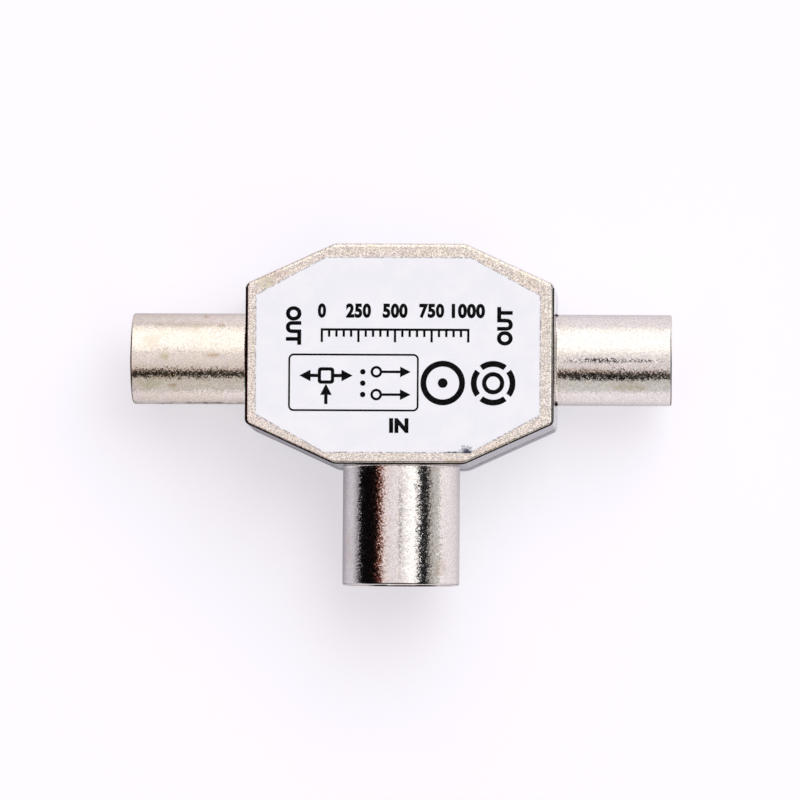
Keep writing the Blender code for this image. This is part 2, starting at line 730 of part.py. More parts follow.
def make_transformers():
    """The matching transformer at the input and the splitting one between the outputs."""
    make_core("matching_core", MATCHING_CORE_PLACE)
    both = (WIRE_LEVEL, -WIRE_LEVEL)
    ends = core_lead_places(MATCHING_CORE_PLACE, 1)[0]
    make_winding("matching_winding", MATCHING_CORE_PLACE, -1, both, ends)
    make_core("splitting_core", SPLITTING_CORE_PLACE)
    lower, upper = core_lead_places(SPLITTING_CORE_PLACE, 2)
    make_winding("splitting_winding_lower", SPLITTING_CORE_PLACE, -1, both[1:], lower)
    make_winding("splitting_winding_upper", SPLITTING_CORE_PLACE, 1, both[:1], upper)


def bent_lead(start, corner, end):
    """Two straight runs joined by a quarter bend."""
    start, corner, end = Vector(start), Vector(corner), Vector(end)
    before, after = (start - corner).normalized(), (end - corner).normalized()
    centre = corner + (before + after) * LEAD_BEND
    path = [start]
    for i in range(ARC_STEPS + 1):
        angle = math.pi / 2 * i / ARC_STEPS
        path.append(centre - (after * math.cos(angle) + before * math.sin(angle)) * LEAD_BEND)
    path.append(end)
    return path


def make_resistor():
    """Balance resistor lying along X, with a lead bent down at each end."""
    x, y = RESISTOR_PLACE
    z = BOARD_FRONT + RESISTOR_LIFT + RESISTOR_DIAMETER / 2
    half, cap = RESISTOR_LENGTH / 2, RESISTOR_CAP_LENGTH
    radius, waist = RESISTOR_DIAMETER / 2, RESISTOR_WAIST / 2
    step = radius - waist
    profile = [(-half, 0), (-half, waist), (-half + step, radius), (-half + cap, radius)]
    profile.append((-half + cap + step, waist))
    profile += [(-distance, r) for distance, r in reversed(profile)]
    bm = revolve(profile, PIN_STEPS)
    lay = Matrix.Translation((x, y, z)) @ Matrix.Rotation(math.pi / 2, 4, "Y")
    bmesh.ops.transform(bm, matrix=lay, verts=bm.verts)
    add_piece("balance_resistor", bm, "resistor_lacquer")
    for name, side, (lead_x, lead_y) in zip(("left", "right"), (-1, 1), resistor_lead_places()):
        start = (x + side * (half + SEAT_GAP), y, z)
        path = bent_lead(start, (lead_x, lead_y, z), (lead_x, lead_y, LEAD_END))
        wire("resistor_lead_" + name, path, LEAD_DIAMETER, "tinned_wire")


def make_capacitor():
    """Dipped capacitor standing on two straight leads."""
    x, y = CAPACITOR_PLACE
    low = BOARD_FRONT + CAPACITOR_LIFT
    bm = box(CAPACITOR_SIZE, (x, y, low + CAPACITOR_SIZE[2] / 2))
    top = [edge for edge in bm.edges if max(v.co.z for v in edge.verts) > low + CAPACITOR_ROUND]
    bmesh.ops.bevel(
        bm, geom=top, offset=CAPACITOR_ROUND, segments=ARC_STEPS, profile=0.5, affect="EDGES", material=-1,
    )
    add_piece("input_capacitor", bm, "capacitor_dip")
    for name, (lead_x, lead_y) in zip(("left", "right"), capacitor_lead_places()):
        path = [Vector((lead_x, lead_y, low - SEAT_GAP)), Vector((lead_x, lead_y, LEAD_END))]
        wire("capacitor_lead_" + name, path, LEAD_DIAMETER, "tinned_wire")


def make_solder_cap(name, place, diameter):
    """A small cone of solder over the end of a lead, with its socket round the lead."""
    top = BOARD_BACK - SEAT_GAP
    hole = diameter / 2 + HOLE_CLEARANCE
    foot = hole + SOLDER_SPREAD
    socket = LEAD_END - SEAT_GAP
    tip = socket - SOLDER_CROWN
    profile = [(socket, 0), (socket, hole), (top, hole), (top, foot)]
    profile += [((top + tip) / 2, (hole + foot) / 2), (tip + SOLDER_CROWN / 2, hole), (tip, 0)]
    bm = revolve(profile, WIRE_STEPS)
    bmesh.ops.translate(bm, vec=(*place, 0), verts=bm.verts)
    add_piece(name, bm, "solder")


def make_tail_solder(port, tail_end):
    """A mound of solder round the end of a port's tail, on the board's copper side."""
    radius = TAIL_DIAMETER / 2 + FIT
    top = TAIL_DIAMETER / 2
    depth = top + radius + TAIL_SOLDER_CROWN
    bm = bmesh.new()
    bmesh.ops.create_uvsphere(bm, u_segments=PIN_STEPS, v_segments=PIN_STEPS // 2, radius=1)
    for place, normal in (((0, 0, 0), (0, 0, 1)), ((0, -TAIL_SOLDER_MOUTH, 0), (0, -1, 0))):
        everything = bm.verts[:] + bm.edges[:] + bm.faces[:]
        bmesh.ops.bisect_plane(bm, geom=everything, plane_co=place, plane_no=normal, clear_outer=True)
        bmesh.ops.holes_fill(bm, edges=[edge for edge in bm.edges if edge.is_boundary])
    bmesh.ops.scale(bm, vec=(TAIL_SOLDER_WIDTH / 2, TAIL_SOLDER_LENGTH / 2, depth), verts=bm.verts)
    bmesh.ops.translate(bm, vec=(0, -tail_end, AXIS_HEIGHT + top), verts=bm.verts)
    turn = {"in": 0, "out_left": -90, "out_right": 90}[port]
    bmesh.ops.rotate(bm, cent=(0, 0, 0), matrix=Matrix.Rotation(math.radians(turn), 3, "Z"), verts=bm.verts)
    solder = add_piece(port + "_solder", bm, "solder")
    start, outside = tail_end - SEAT_GAP, tail_end + TAIL_SOLDER_LENGTH
    channel = port_turning(port, [(start, 0), (start, radius), (outside, radius), (outside, 0)], PIN_STEPS)
    shape_with(solder, channel, "DIFFERENCE")


def make_solder():
    """All solder joints on the copper side."""
    for port, tail_end in (("out_left", OUT_TAIL_END), ("out_right", OUT_TAIL_END), ("in", IN_TAIL_END)):
        make_tail_solder(port, tail_end)
    for side, place in zip(("left", "right"), post_places()[:2]):
        make_solder_cap("earth_solder_" + side, place, SPIGOT_DIAMETER)
    for name, place, diameter in soldered_leads():
        make_solder_cap(name + "_solder", place, diameter)


def make_splitter():
    """Builds every piece of the splitter."""
    clear_scene()
    make_housing()
    make_back_cover()
    make_label()
    make_output("out_left")
    make_output("out_right")
    contact_seat = IN_WALL + SEAT_GAP + IN_DISC_THICKNESS
    make_input_insulator(contact_seat)
    make_socket_contact(contact_seat)
    make_earth_sleeve()
    make_circuit_board()
    make_transformers()
    make_resistor()
    make_capacitor()
    make_solder()


make_splitter()
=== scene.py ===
"""Looks of the coaxial tee splitter: cast nickel housing, film label, turned contacts, studio.

Sizes below are in millimetres, in the part's own frame: origin on the back face under the
point where the three port axes cross, +Z out of the labelled front, input towards -Y.
"""

import json
import math
from functools import cached_property, reduce

import bmesh
import bpy
from mathutils import Matrix, Vector


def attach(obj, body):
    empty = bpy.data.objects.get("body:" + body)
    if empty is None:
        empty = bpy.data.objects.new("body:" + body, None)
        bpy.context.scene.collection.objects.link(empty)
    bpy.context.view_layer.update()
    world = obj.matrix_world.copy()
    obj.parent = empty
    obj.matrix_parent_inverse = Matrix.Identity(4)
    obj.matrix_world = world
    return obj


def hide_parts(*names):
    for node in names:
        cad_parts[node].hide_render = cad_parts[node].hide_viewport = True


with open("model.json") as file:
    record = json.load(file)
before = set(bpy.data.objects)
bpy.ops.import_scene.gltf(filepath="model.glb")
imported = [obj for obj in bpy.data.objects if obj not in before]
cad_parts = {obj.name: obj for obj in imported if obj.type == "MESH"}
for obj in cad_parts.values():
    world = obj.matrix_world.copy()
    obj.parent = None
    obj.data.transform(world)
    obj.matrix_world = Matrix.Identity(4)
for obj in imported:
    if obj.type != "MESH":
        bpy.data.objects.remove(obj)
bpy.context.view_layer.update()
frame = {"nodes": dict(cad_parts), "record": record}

MM = 0.001
BODY = "root"

# Camera, found from the photograph's outline
CAMERA_TARGET = (-0.211, -4.227, 7.5)
CAMERA_DISTANCE = 600.0
CAMERA_TILT_EAST = 2.398
CAMERA_TILT_SOUTH = 2.822
CAMERA_ROLL = 0.366
CAMERA_LENS = 258.6
CAMERA_SENSOR = 36.0
CAMERA_CLIP = (0.01, 10.0)

# Housing casting
BODY_WIDTH = 31.9
BODY_HEIGHT = 22.8
BODY_DEPTH = 15.0
BODY_CENTRE_Y = 0.2
CORNER_CUT_X = 9.2
CORNER_CUT_Y = 4.2
SIDE_CORNER_RADIUS = 0.6
END_CORNER_RADIUS = 1.5
DRAFT_GROWTH = 0.165
FRONT_EDGE_FILLET = 0.4
BACK_EDGE_BREAK = 0.12
SIDE_WALL = 1.5
FRONT_WALL = 1.5
RIM_WALL = 0.8
REBATE_DEPTH = 1.0
CAVITY_CORNER_RADIUS = 0.3
FIT = 0.05
SEAT_GAP = 0.05

# The die's parting seam
SEAM_HEIGHT = 4.9
SEAM_WIDTH = 0.22
SEAM_DEPTH = 0.1
SEAM_SOFT = 0.1

# Output plugs
OUT_REACH = 28.1
OUT_SLEEVE_DIAMETER = 9.5
OUT_SLEEVE_BORE = 8.3
OUT_ROOT_FILLET = 0.3
OUT_RIM_ROUND = 0.22
OUT_RIM_LEAD = 0.15
OUT_DISC_THICKNESS = 2.2
OUT_PIN_DIAMETER = 2.4
OUT_PIN_RECESS = 0.7
OUT_PIN_NOSE = 1.1
OUT_PIN_NOSE_FLAT = 0.35
OUT_PIN_SEAT = 1.0

# Input socket
IN_REACH = 23.6
IN_SHELL_DIAMETER = 12.2
IN_SHELL_BORE = 10.8
IN_ROOT_FILLET = 0.15
IN_RIM_ROUND = 0.25
IN_RIM_LEAD = 0.12
IN_DISC_THICKNESS = 2.0
IN_NOSE_DIAMETER = 7.6
IN_NOSE_RECESS = 1.0
IN_NOSE_ROUND = 0.4
SOCKET_DIAMETER = 3.4
SOCKET_BORE = 2.3
SOCKET_BORE_DEPTH = 8.0
SOCKET_RECESS = 0.4
SOCKET_LEAD = 0.2
SOCKET_SLOT_WIDTH = 0.4
SOCKET_SLOT_DEPTH = 4.5
SPRING_THICKNESS = 0.4
SPRING_RING_LENGTH = 2.2
SPRING_TIP_RECESS = 1.2
SPRING_BOW = 0.33
SPRING_BOW_STEPS = 16
SPRING_FINGERS = 6
SPRING_SLOT_WIDTH = 1.0
WALL_HOLE_DIAMETER = 6.1
SPIGOT_PROUD = 0.3
TAIL_DIAMETER = 1.2

# Moulded and stamped edges
DISH_WIDTH = 0.9
DISH_DEPTH = 0.35
MOULD_ROUND = 0.12
SPRING_EDGE_BREAK = 0.08

# Circuit board, which the contacts' tails end over and four cast posts carry
BOARD_CLEARANCE_X = 3.4
BOARD_CLEARANCE_Y = 2.4
TAIL_ON_BOARD = 2.2
BOARD_THICKNESS = 1.0
POST_DIAMETER = 2.0
POST_ROOT_DIAMETER = 2.4
POST_INSET_X = 1.9
POST_INSET_Y = 2.9
SPIGOT_DIAMETER = 1.0
SPIGOT_PAST_BOARD = 0.5

# Label film and its print
LABEL_MARGIN_X = 1.22
LABEL_MARGIN_Y = 1.29
LABEL_CUT_LESS_X = 2.0
LABEL_CUT_LESS_Y = 0.27
LABEL_SHIFT = (-0.16, -0.15)
LABEL_CORNER_RADIUS = 0.35
LABEL_THICKNESS = 0.07
GLUE_LINE = 0.01
INK_GAP = 0.004
INK_THICKNESS = 0.012

# Legends at the ports: word, low and high corner, turn
LEGENDS = {
    "legend_in": ("IN", (-1.0, -8.0), (1.0, -6.48), 0.0),
    "legend_out_left": ("OUT", (-11.74, 1.06), (-10.12, 5.06), -90.0),
    "legend_out_right": ("OUT", (10.06, 1.06), (11.7, 5.04), 90.0),
}
LEGEND_WEIGHT = 0.06
FIGURE_WEIGHT = 0.052
WORD_SPACING = 1.08

# Printed scale and its figures
SCALE_FIGURES = ("0", "250", "500", "750", "1000")
SCALE_PITCH = 3.78
SCALE_SHIFT = -0.45
SCALE_DIGIT_WIDTH = 0.86
SCALE_FIGURE_LOW = 3.86
SCALE_FIGURE_HIGH = 5.37
SCALE_TOP = 2.66
SCALE_LINE = 0.24
SCALE_PARTS = 5
SCALE_LONG_TICK = 1.3
SCALE_SHORT_TICK = 0.75

# Printed frame and the symbols in it
FRAME_LOW = (-11.45, -5.78)
FRAME_HIGH = (2.02, 0.16)
FRAME_RADIUS = 0.55
FRAME_LINE = 0.19
NODE_CENTRE = (-7.55, -2.1)
NODE_HALF = 0.85
NODE_LINE = 0.34
ARM_REACH = 2.75
STEM_REACH = 2.95
HEAD_LENGTH = 1.15
HEAD_WIDTH = 1.2
PATH_ROWS = (-1.7, -4.05)
PATH_LEFT = -2.95
PATH_RIGHT = 1.2
PATH_RING = 0.6
PATH_LINE = 0.26
PATH_HEAD = 1.1
PATH_DOTS = -3.75
PATH_DOT_RADIUS = 0.28

# Printed symbols of a plug and a socket, end on
PLUG_SYMBOL = (4.5, -2.83)
SOCKET_SYMBOL = (9.7, -2.83)
RING_RADIUS = 2.3
RING_LINE = 0.6
RING_GAPS = 4
RING_GAP_ANGLE = 15.0
RING_TURN = 45.0
PLUG_DOT_RADIUS = 0.5
SOCKET_RING_RADIUS = 1.15
SOCKET_RING_LINE = 0.45

# Floor
FLOOR_REACH = 3000.0
FLOOR_DROP = 0.02
FLOOR_LIFT = 0.55
FLOOR_TONE = (0.475, 0.455, 0.50)
FLOOR_GLOW = (0.98, 0.965, 1.0)
# Painted shade: the table's glow, seen only in reflections, fades out between these distances to the west
WEST_SHADE_NEAR = -20.0
WEST_SHADE_FAR = -80.0

# Plating: the lean of its tiny facets, its tones, what wear and dirt make of them, and the shade and light
# painted onto it
FACET_TILT = 0.085
NICKEL_TONES = ((0.81, 0.75, 0.685), (0.78, 0.70, 0.60))
ROSY_TONE = (0.78, 0.68, 0.645)
COOL_TONE = (0.82, 0.79, 0.775)
GOLD_FACET_TONE = (0.83, 0.69, 0.53)
GREY_FACET_TONE = (0.79, 0.74, 0.75)
# Painted shade and light: the walls darker facing west, lighter facing east
SHADED_AND_LIT_WALL_TONES = ((0.50, 0.485, 0.52), (0.66, 0.65, 0.68))
SHELL_SHADE = (0.86, 0.88, 0.93)
EDGE_TINT = (0.70, 0.69, 0.70)
# Painted shade and light in the grazing tint: duller where shade falls, white on the lit east walls
SHADED_EDGE_TINT = (0.52, 0.51, 0.54)
LIT_EDGE_TINT = (1, 1, 1)
# Painted shade: near black for the painted dark reflections and shade lines on edges and rims
LINE_SHADE_TONE = (0.012, 0.010, 0.009)
RIM_SHADE_STRENGTH = 0.95
# Painted shade in the seam's groove and the dirt specks round it
SEAM_SHADE_AND_DIRT_TONE = (0.035, 0.033, 0.036)
GRIME_BELOW = 2.4
GRIME_ABOVE = 1.0
NICKEL_GRAIN = {"grain_size": 0.3, "grain_depth": 0.002, "wave_size": 1.7, "wave_depth": 0.007}
NICKEL_PATCHES = (3.2, 0.16)
NICKEL_ROUGHNESS = (0.17, 0.10)
DULL_WALL_ROUGHNESS = 0.16
ROSY_PATCHES = {"patch_size": 1.9, "contrast": 0.12}
ROSY_SHARE = 0.7
COOL_SHARE = 0.75
GOLD_SHARE = 0.45
GREY_SHARE = 0.25
FACET_SIZE = 0.11

# Darkest and lightest facet, on the sleeves and on the body
DARKEST_FACET = (0.82, 0.64)
LIGHTEST_FACET = (1.12, 1.30)

# Where the plating's masks begin and end: chance of a facet or of a height in the grain
GOLD_FACETS = (0.6, 1.0)
GREY_FACETS = (0.35, 0.0)
TARNISH_DOTS = (0.30, 0.65)
DARK_REFLECTION_DOTS = (0.74, 0.56)
GRAIN_HEIGHTS = (0.3, 0.7)

# How far the surface's normal points up, east or north
WALLS_UP = (0.1, 0.35)
WALLS_TURN_EAST = (-0.3, 0.5)
EAST_WALLS = (0.7, 0.9)
WEST_WALLS = (0.0, -0.3)
SHELL_WEST = (-0.50, -0.85)
FRONT_FACE_UP = 0.995
FRONT_LINE_UP = ((0.82, 0.74), (0.10, 0.30))
FRONT_LINE_NOT_NORTH = (0.12, 0.02)
OUT_RIM_LINE_OUT = ((0.45, 0.60), (0.97, 0.90))
IN_RIM_LINE_NORTH = ((-0.25, -0.35), (-0.80, -0.70))
LOW_LINE_NORTH = (-0.955, -0.975)
LOW_LINE_UP = (0.0, 0.06)

# Places and distances in millimetres
COOL_EAST = (14.0, 18.0)
COOL_SOUTH = (-10.0, -12.0)
OUT_RIM_LINE_ENDS = (1.4, -0.4)
IN_RIM_LINE_ENDS = (4.0, 2.9)
SEAT_LINE_OFF = 0.06
SEAT_LINE_WIDTH = (0.14, 0.08)
SEAT_LINE_SIDES = (4.3, 4.6)
SEAT_LINE_OUT = (0.28, 0.18)
LOW_LINE_START = 0.4

# Tarnish on the sleeves, painted dark reflections along their tops, and smudges on the label: centre and
# reach in millimetres, rag, strength
TARNISH_TONE = (0.50, 0.34, 0.20)
TARNISH_SPOTS = (
    ((-18.7, 3.3, 10.9), (0.6, 0.35, 1.0), 0.3, 1.0), ((-20.4, 4.3, 9.6), (0.5, 0.25, 1.0), 0.3, 1.0),
    ((-19.3, 0.1, 12.2), (1.2, 0.4, 1.0), 0.5, 0.9), ((-24.6, -2.0, 11.8), (2.4, 0.35, 1.0), 0.4, 0.9),
    ((-23.8, -3.0, 11.2), (0.6, 0.3, 1.0), 0.3, 0.9), ((-26.0, 1.6, 12.0), (1.2, 0.9, 1.0), 0.6, 0.45),
    ((-22.8, 3.3, 10.8), (4.2, 0.8, 1.0), 0.9, 0.4), ((4.3, -21.8, 11.8), (0.9, 1.1, 2.0), 0.6, 0.6),
    ((19.5, -1.3, 12.1), (3.6, 0.22, 1.0), 0.4, 0.7), ((5.9, -10.9, 14.9), (1.7, 0.3, 1.0), 0.35, 0.8),
    ((-5.2, -20.0, 10.0), (0.6, 3.0, 2.0), 0.7, 0.4), ((-12.6, 8.4, 15.0), (1.6, 0.5, 1.0), 0.5, 0.5),
)
OLIVE_TONE = (0.52, 0.47, 0.27)
OLIVE_SPOTS = (
    ((-24.5, 0.0, 12.2), (0.7, 0.6, 1.0), 0.4, 0.9), ((-25.9, -2.8, 11.3), (1.5, 0.9, 1.0), 0.6, 0.8),
    ((-18.6, -1.5, 12.0), (1.3, 0.5, 1.0), 0.5, 0.7), ((23.8, -3.0, 11.2), (2.4, 0.7, 1.0), 0.7, 0.9),
    ((-13.9, 7.6, 15.0), (1.5, 0.9, 1.0), 0.7, 0.45), ((-8.8, -9.0, 15.0), (1.8, 0.7, 1.0), 0.7, 0.4),
)
# Painted dark reflections, as streaks along the tops of the sleeves
DARK_REFLECTION_TONE = (0.05, 0.045, 0.042)
DARK_REFLECTION_STREAKS = (
    ((20.9, -0.3, 12.2), (4.8, 0.42, 1.5), 0.25, 1.0), ((25.2, -0.3, 12.2), (3.0, 0.2, 1.5), 0.2, 0.9),
    ((22.2, -2.12, 11.9), (6.2, 0.36, 1.5), 0.3, 1.0), ((0.15, -17.2, 13.6), (0.34, 6.2, 1.5), 0.9, 0.45),
)
LABEL_SMUDGE_TONE = (0.012, 0.02, 0.05)
LABEL_SMUDGES = (
    ((7.0, -10.0, 15.1), (0.85, 0.78, 1.0), 0.5, 1.0), ((7.1, -10.0, 15.1), (1.0, 0.5, 1.0), 0.12, 0.5),
    ((5.6, -9.96, 15.1), (1.3, 0.09, 1.0), 0.3, 1.0),
)
LABEL_EDGE_TONE = (0.20, 0.17, 0.20)
LABEL_EDGE_INSET = 0.02
LABEL_EDGE_WIDTH = 0.13

# Resistor rings: middle along its body and colour
BAND_WIDTH = 0.36
BAND_BLUR = 0.02
BAND_WOBBLE = 0.06
BAND_TONES = (
    (-1.1, (0.25, 0.10, 0.03)), (-0.45, (0.01, 0.01, 0.01)), (0.2, (0.25, 0.10, 0.03)),
    (1.1, (0.55, 0.40, 0.10)),
)

# Turned, drawn and rolled metals: two tones, squeeze of the lines, line size, depth, roughness range
DRAWN_METALS = {
    "plated_brass": (((0.80, 0.74, 0.62), (0.72, 0.64, 0.50)), (1, 1, 0.03), 0.07, 0.0012, (0.22, 0.12)),
    "spring_brass": (((0.84, 0.76, 0.62), (0.76, 0.64, 0.44)), (1, 0.03, 1), 0.09, 0.0015, (0.30, 0.18)),
    "enamelled_copper": (((0.66, 0.22, 0.07), (0.52, 0.14, 0.035)), (1, 1, 1), 0.25, 0.002, (0.26, 0.16)),
    "tinned_wire": (((0.74, 0.74, 0.73), (0.62, 0.62, 0.62)), (0.04, 1, 1), 0.06, 0.001, (0.34, 0.22)),
    "solder": (((0.76, 0.77, 0.78), (0.60, 0.61, 0.63)), (1, 1, 1), 0.35, 0.006, (0.24, 0.12)),
    "cover_steel": (((0.72, 0.69, 0.64), (0.64, 0.60, 0.55)), (1, 0.02, 1), 0.11, 0.0025, (0.34, 0.22)),
}

# Solid skins: two tones, patch size and contrast, grain and wave size and depth, shader values
SOLID_SKINS = {
    "label_film": (
        ((0.88, 0.885, 0.945), (0.915, 0.915, 0.96)), (3.0, 0.12), (0.12, 0.0006, 2.4, 0.0025),
        {"Roughness": 0.38}),
    "screen_ink": (
        ((0.001, 0.001, 0.0015), (0.007, 0.007, 0.008)), (0.35, 0.12), (0.10, 0.0006, 1.0, 0.001),
        {"Roughness": 0.6, "Specular IOR Level": 0.05}),
    "natural_plastic": (
        ((0.78, 0.765, 0.70), (0.72, 0.70, 0.62)), (1.6, 0.2), (0.14, 0.0022, 1.5, 0.006),
        {"Roughness": 0.42, "Subsurface Weight": 0.15, "Subsurface Scale": 0.0006}),
    "ferrite": (
        ((0.020, 0.020, 0.023), (0.045, 0.044, 0.048)), (0.6, 0.2), (0.08, 0.004, 0.64, 0.004),
        {"Roughness": 0.62}),
    "resistor_lacquer": (
        ((0.56, 0.44, 0.27), (0.48, 0.36, 0.20)), (0.8, 0.2), (0.1, 0.001, 0.8, 0.006),
        {"Roughness": 0.3}),
    "capacitor_dip": (
        ((0.62, 0.30, 0.045), (0.54, 0.23, 0.03)), (1.2, 0.2), (0.18, 0.002, 1.44, 0.02),
        {"Roughness": 0.22}),
}
BOARD_TONES = ((0.50, 0.33, 0.13), (0.38, 0.23, 0.08))
BOARD_FIBRE_TONE = (0.62, 0.46, 0.24)

# Key light, its azimuth clockwise from north
KEY_STRENGTH = 1.25
KEY_SOFTNESS = 50.0
KEY_FROM_OVERHEAD = 38.0
KEY_AZIMUTH = 42.0

# Reflected light round the part, by degrees from overhead: south is negative and north positive
PEAK_LIGHT = 1.42
NORTH_SOUTH_LIGHT = (
    (-180, (0.50, 0.50, 0.52)), (-100, (0.54, 0.54, 0.54)), (-88, (0.50, 0.50, 0.50)),
    (-60, (0.49, 0.48, 0.47)), (-52, (0.44, 0.41, 0.38)), (-49, (0.01, 0.008, 0.006)),
    (-35.5, (0.01, 0.008, 0.006)), (-32, (0.24, 0.18, 0.15)), (-27, (0.58, 0.54, 0.55)),
    (0, (0.61, 0.58, 0.585)), (12, (0.71, 0.69, 0.68)), (22, (0.92, 0.91, 0.90)),
    (32, (1.0, 1.0, 1.0)), (70, (1.0, 1.0, 1.0)), (84, (0.82, 0.81, 0.80)),
    (110, (0.66, 0.66, 0.66)), (180, (0.50, 0.50, 0.52)),
)
# West is negative and east positive
WEST_EAST_LIGHT = (
    (-180, (0.30, 0.30, 0.33)), (-128, (0.40, 0.41, 0.44)), (-112, (0.34, 0.34, 0.36)),
    (-106, (0.002, 0.002, 0.003)), (-44, (0.002, 0.001, 0.001)), (-38.5, (0.20, 0.05, 0.026)),
    (-31, (0.64, 0.57, 0.57)), (-12, (0.67, 0.65, 0.70)), (-2, (0.71, 0.68, 0.70)),
    (5.5, (0.70, 0.68, 0.70)), (12, (0.80, 0.80, 0.81)), (21, (0.96, 0.97, 0.99)),
    (34.5, (0.96, 0.97, 0.99)), (37.5, (0.006, 0.006, 0.008)), (56, (0.006, 0.006, 0.008)),
    (62, (0.28, 0.27, 0.26)), (68, (0.44, 0.43, 0.42)), (85, (0.46, 0.45, 0.45)),
    (88, (0.88, 0.88, 0.89)), (112, (1.0, 1.0, 1.02)), (128, (0.50, 0.50, 0.52)),
    (180, (0.40, 0.40, 0.43)),
)
# Share of the look to the north or south, squared, where one band of light gives way to the other
BANDS_MEET = (0.74, 0.82)

# Steps round turned, rounded and printed shapes, and tolerances
PORT_STEPS = 128
PIN_STEPS = 64
ROUND_STEPS = 5
CORNER_STEPS = 8
EDGE_STEPS = 2
MOULD_STEPS = 3
NOSE_STEPS = 12
PRINT_STEPS = 48
BAND_STEPS = 24
FRAME_CORNER_STEPS = 6
SMOOTH_ANGLE = math.radians(30)
NORMAL_WEIGHT = 80
TEXT_STEPS = 4
FLAT = 0.9
STEEP = 0.5
WELD = 1e-5
NEAR = 1e-4
NOT_ZERO = 1e-6
PAST_BACK = 1

# Places worked out from the sizes above
AXIS_HEIGHT = BODY_DEPTH / 2
CAVITY_WIDTH = BODY_WIDTH - 2 * SIDE_WALL
CAVITY_HEIGHT = BODY_HEIGHT - 2 * SIDE_WALL
OUT_WALL = BODY_WIDTH / 2 + DRAFT_GROWTH / 2
IN_WALL = BODY_HEIGHT / 2 - BODY_CENTRE_Y + DRAFT_GROWTH / 2
CAVITY_TOP = BODY_DEPTH - FRONT_WALL
LABEL_BOTTOM = BODY_DEPTH + GLUE_LINE
LABEL_TOP = LABEL_BOTTOM + LABEL_THICKNESS
INK_BOTTOM = LABEL_TOP + INK_GAP
OUT_TAIL_END = CAVITY_WIDTH / 2 - BOARD_CLEARANCE_X - TAIL_ON_BOARD
IN_TAIL_END = CAVITY_HEIGHT / 2 - BOARD_CLEARANCE_Y - BODY_CENTRE_Y - TAIL_ON_BOARD
CONTACT_SEAT = IN_WALL + SEAT_GAP + IN_DISC_THICKNESS

# Port directions: each turns a turned shape's axis +Z onto the port's own direction
PORTS = {
    "out_left": Matrix.Rotation(math.radians(-90), 4, "Y"),
    "out_right": Matrix.Rotation(math.radians(90), 4, "Y"),
    "in": Matrix.Rotation(math.radians(90), 4, "X"),
}


# Mesh tools

def place_in_scene(name, data):
    """Links a new object with its data to the scene."""
    obj = bpy.data.objects.new(name, data)
    bpy.context.scene.collection.objects.link(obj)
    return obj


def finish_mesh(name, bm):
    """Writes a bmesh in millimetres as an object in metres, at the origin."""
    bmesh.ops.remove_doubles(bm, verts=bm.verts, dist=WELD)
    bmesh.ops.recalc_face_normals(bm, faces=bm.faces)
    bmesh.ops.scale(bm, vec=(MM,) * 3, verts=bm.verts)
    mesh = bpy.data.meshes.new(name)
    bm.to_mesh(mesh)
    bm.free()
    return place_in_scene(name, mesh)


def seen_mesh(obj):
    """An object's mesh with its modifiers applied."""
    return bpy.data.meshes.new_from_object(obj.evaluated_get(bpy.context.evaluated_depsgraph_get()))


def shape_with(obj, bm, operation):
    """Joins or cuts a piece with a tool solid, which is used up."""
    tool = finish_mesh(obj.name + "_tool", bm)
    step = obj.modifiers.new("shape", "BOOLEAN")
    step.operation = operation
    step.solver = "EXACT"
    step.object = tool
    mesh, used = seen_mesh(obj), (obj.data, tool.data)
    obj.modifiers.clear()
    obj.data = mesh
    bpy.data.objects.remove(tool)
    for old in used:
        bpy.data.meshes.remove(old)
    mesh.name = obj.name


def merge(target, source):
    """Adds one bmesh to another as a further closed body, and frees it."""
    mesh = bpy.data.meshes.new("merge")
    source.to_mesh(mesh)
    source.free()
    target.from_mesh(mesh)
    bpy.data.meshes.remove(mesh)


def turned(profile, steps):
    """Turns a closed or axis-to-axis profile of (distance, radius) points about Z."""
    bm = bmesh.new()
    verts = [bm.verts.new((radius, 0, distance)) for distance, radius in profile]
    pairs = list(zip(verts, verts[1:]))
    if profile[0][1] > 0:
        pairs.append((verts[-1], verts[0]))
    edges = [bm.edges.new(pair) for pair in pairs]
    bmesh.ops.spin(
        bm, geom=verts + edges, cent=(0, 0, 0), axis=(0, 0, 1),
        angle=math.tau, steps=steps, use_merge=True,
    )
    bmesh.ops.remove_doubles(bm, verts=bm.verts, dist=WELD)
    bmesh.ops.recalc_face_normals(bm, faces=bm.faces)
    return bm


def bevel(bm, edges, width, segments):
    """Rounds edges."""
    bmesh.ops.bevel(
        bm, geom=edges, offset=width, offset_type="OFFSET", segments=segments,
        profile=0.5, affect="EDGES", clamp_overlap=True, material=-1,
    )


def round_ring(bm, distance, radius, width, segments=ROUND_STEPS):
    """Rounds the ring edge of a turned shape at a distance and radius."""
    def on_ring(vert):
        reach = math.hypot(vert.co.x, vert.co.y)
        return abs(vert.co.z - distance) < NEAR and abs(reach - radius) < 10 * NEAR
    bevel(bm, [edge for edge in bm.edges if all(on_ring(vert) for vert in edge.verts)], width, segments)


def at_port(bm, port):
    """Lays a turned shape along a port's axis."""
    place = Matrix.Translation((0, 0, AXIS_HEIGHT)) @ PORTS[port]
    bmesh.ops.transform(bm, matrix=place, verts=bm.verts)
    return bm


def box(size, centre):
    """A rectangular block."""
    bm = bmesh.new()
    bmesh.ops.create_cube(bm, size=1)
    bmesh.ops.scale(bm, vec=size, verts=bm.verts)
    bmesh.ops.translate(bm, vec=centre, verts=bm.verts)
    return bm


def octagon_corners(width, height, cut_x, cut_y, centre):
    """Corners of an octagon, counter-clockwise from the lower right side corner."""
    x, y = width / 2, height / 2
    quarter = [(x, -y + cut_y), (x, y - cut_y), (x - cut_x, y), (-x + cut_x, y)]
    corners = quarter + [(-px, -py) for px, py in quarter]
    return [Vector((px + centre[0], py + centre[1])) for px, py in corners]


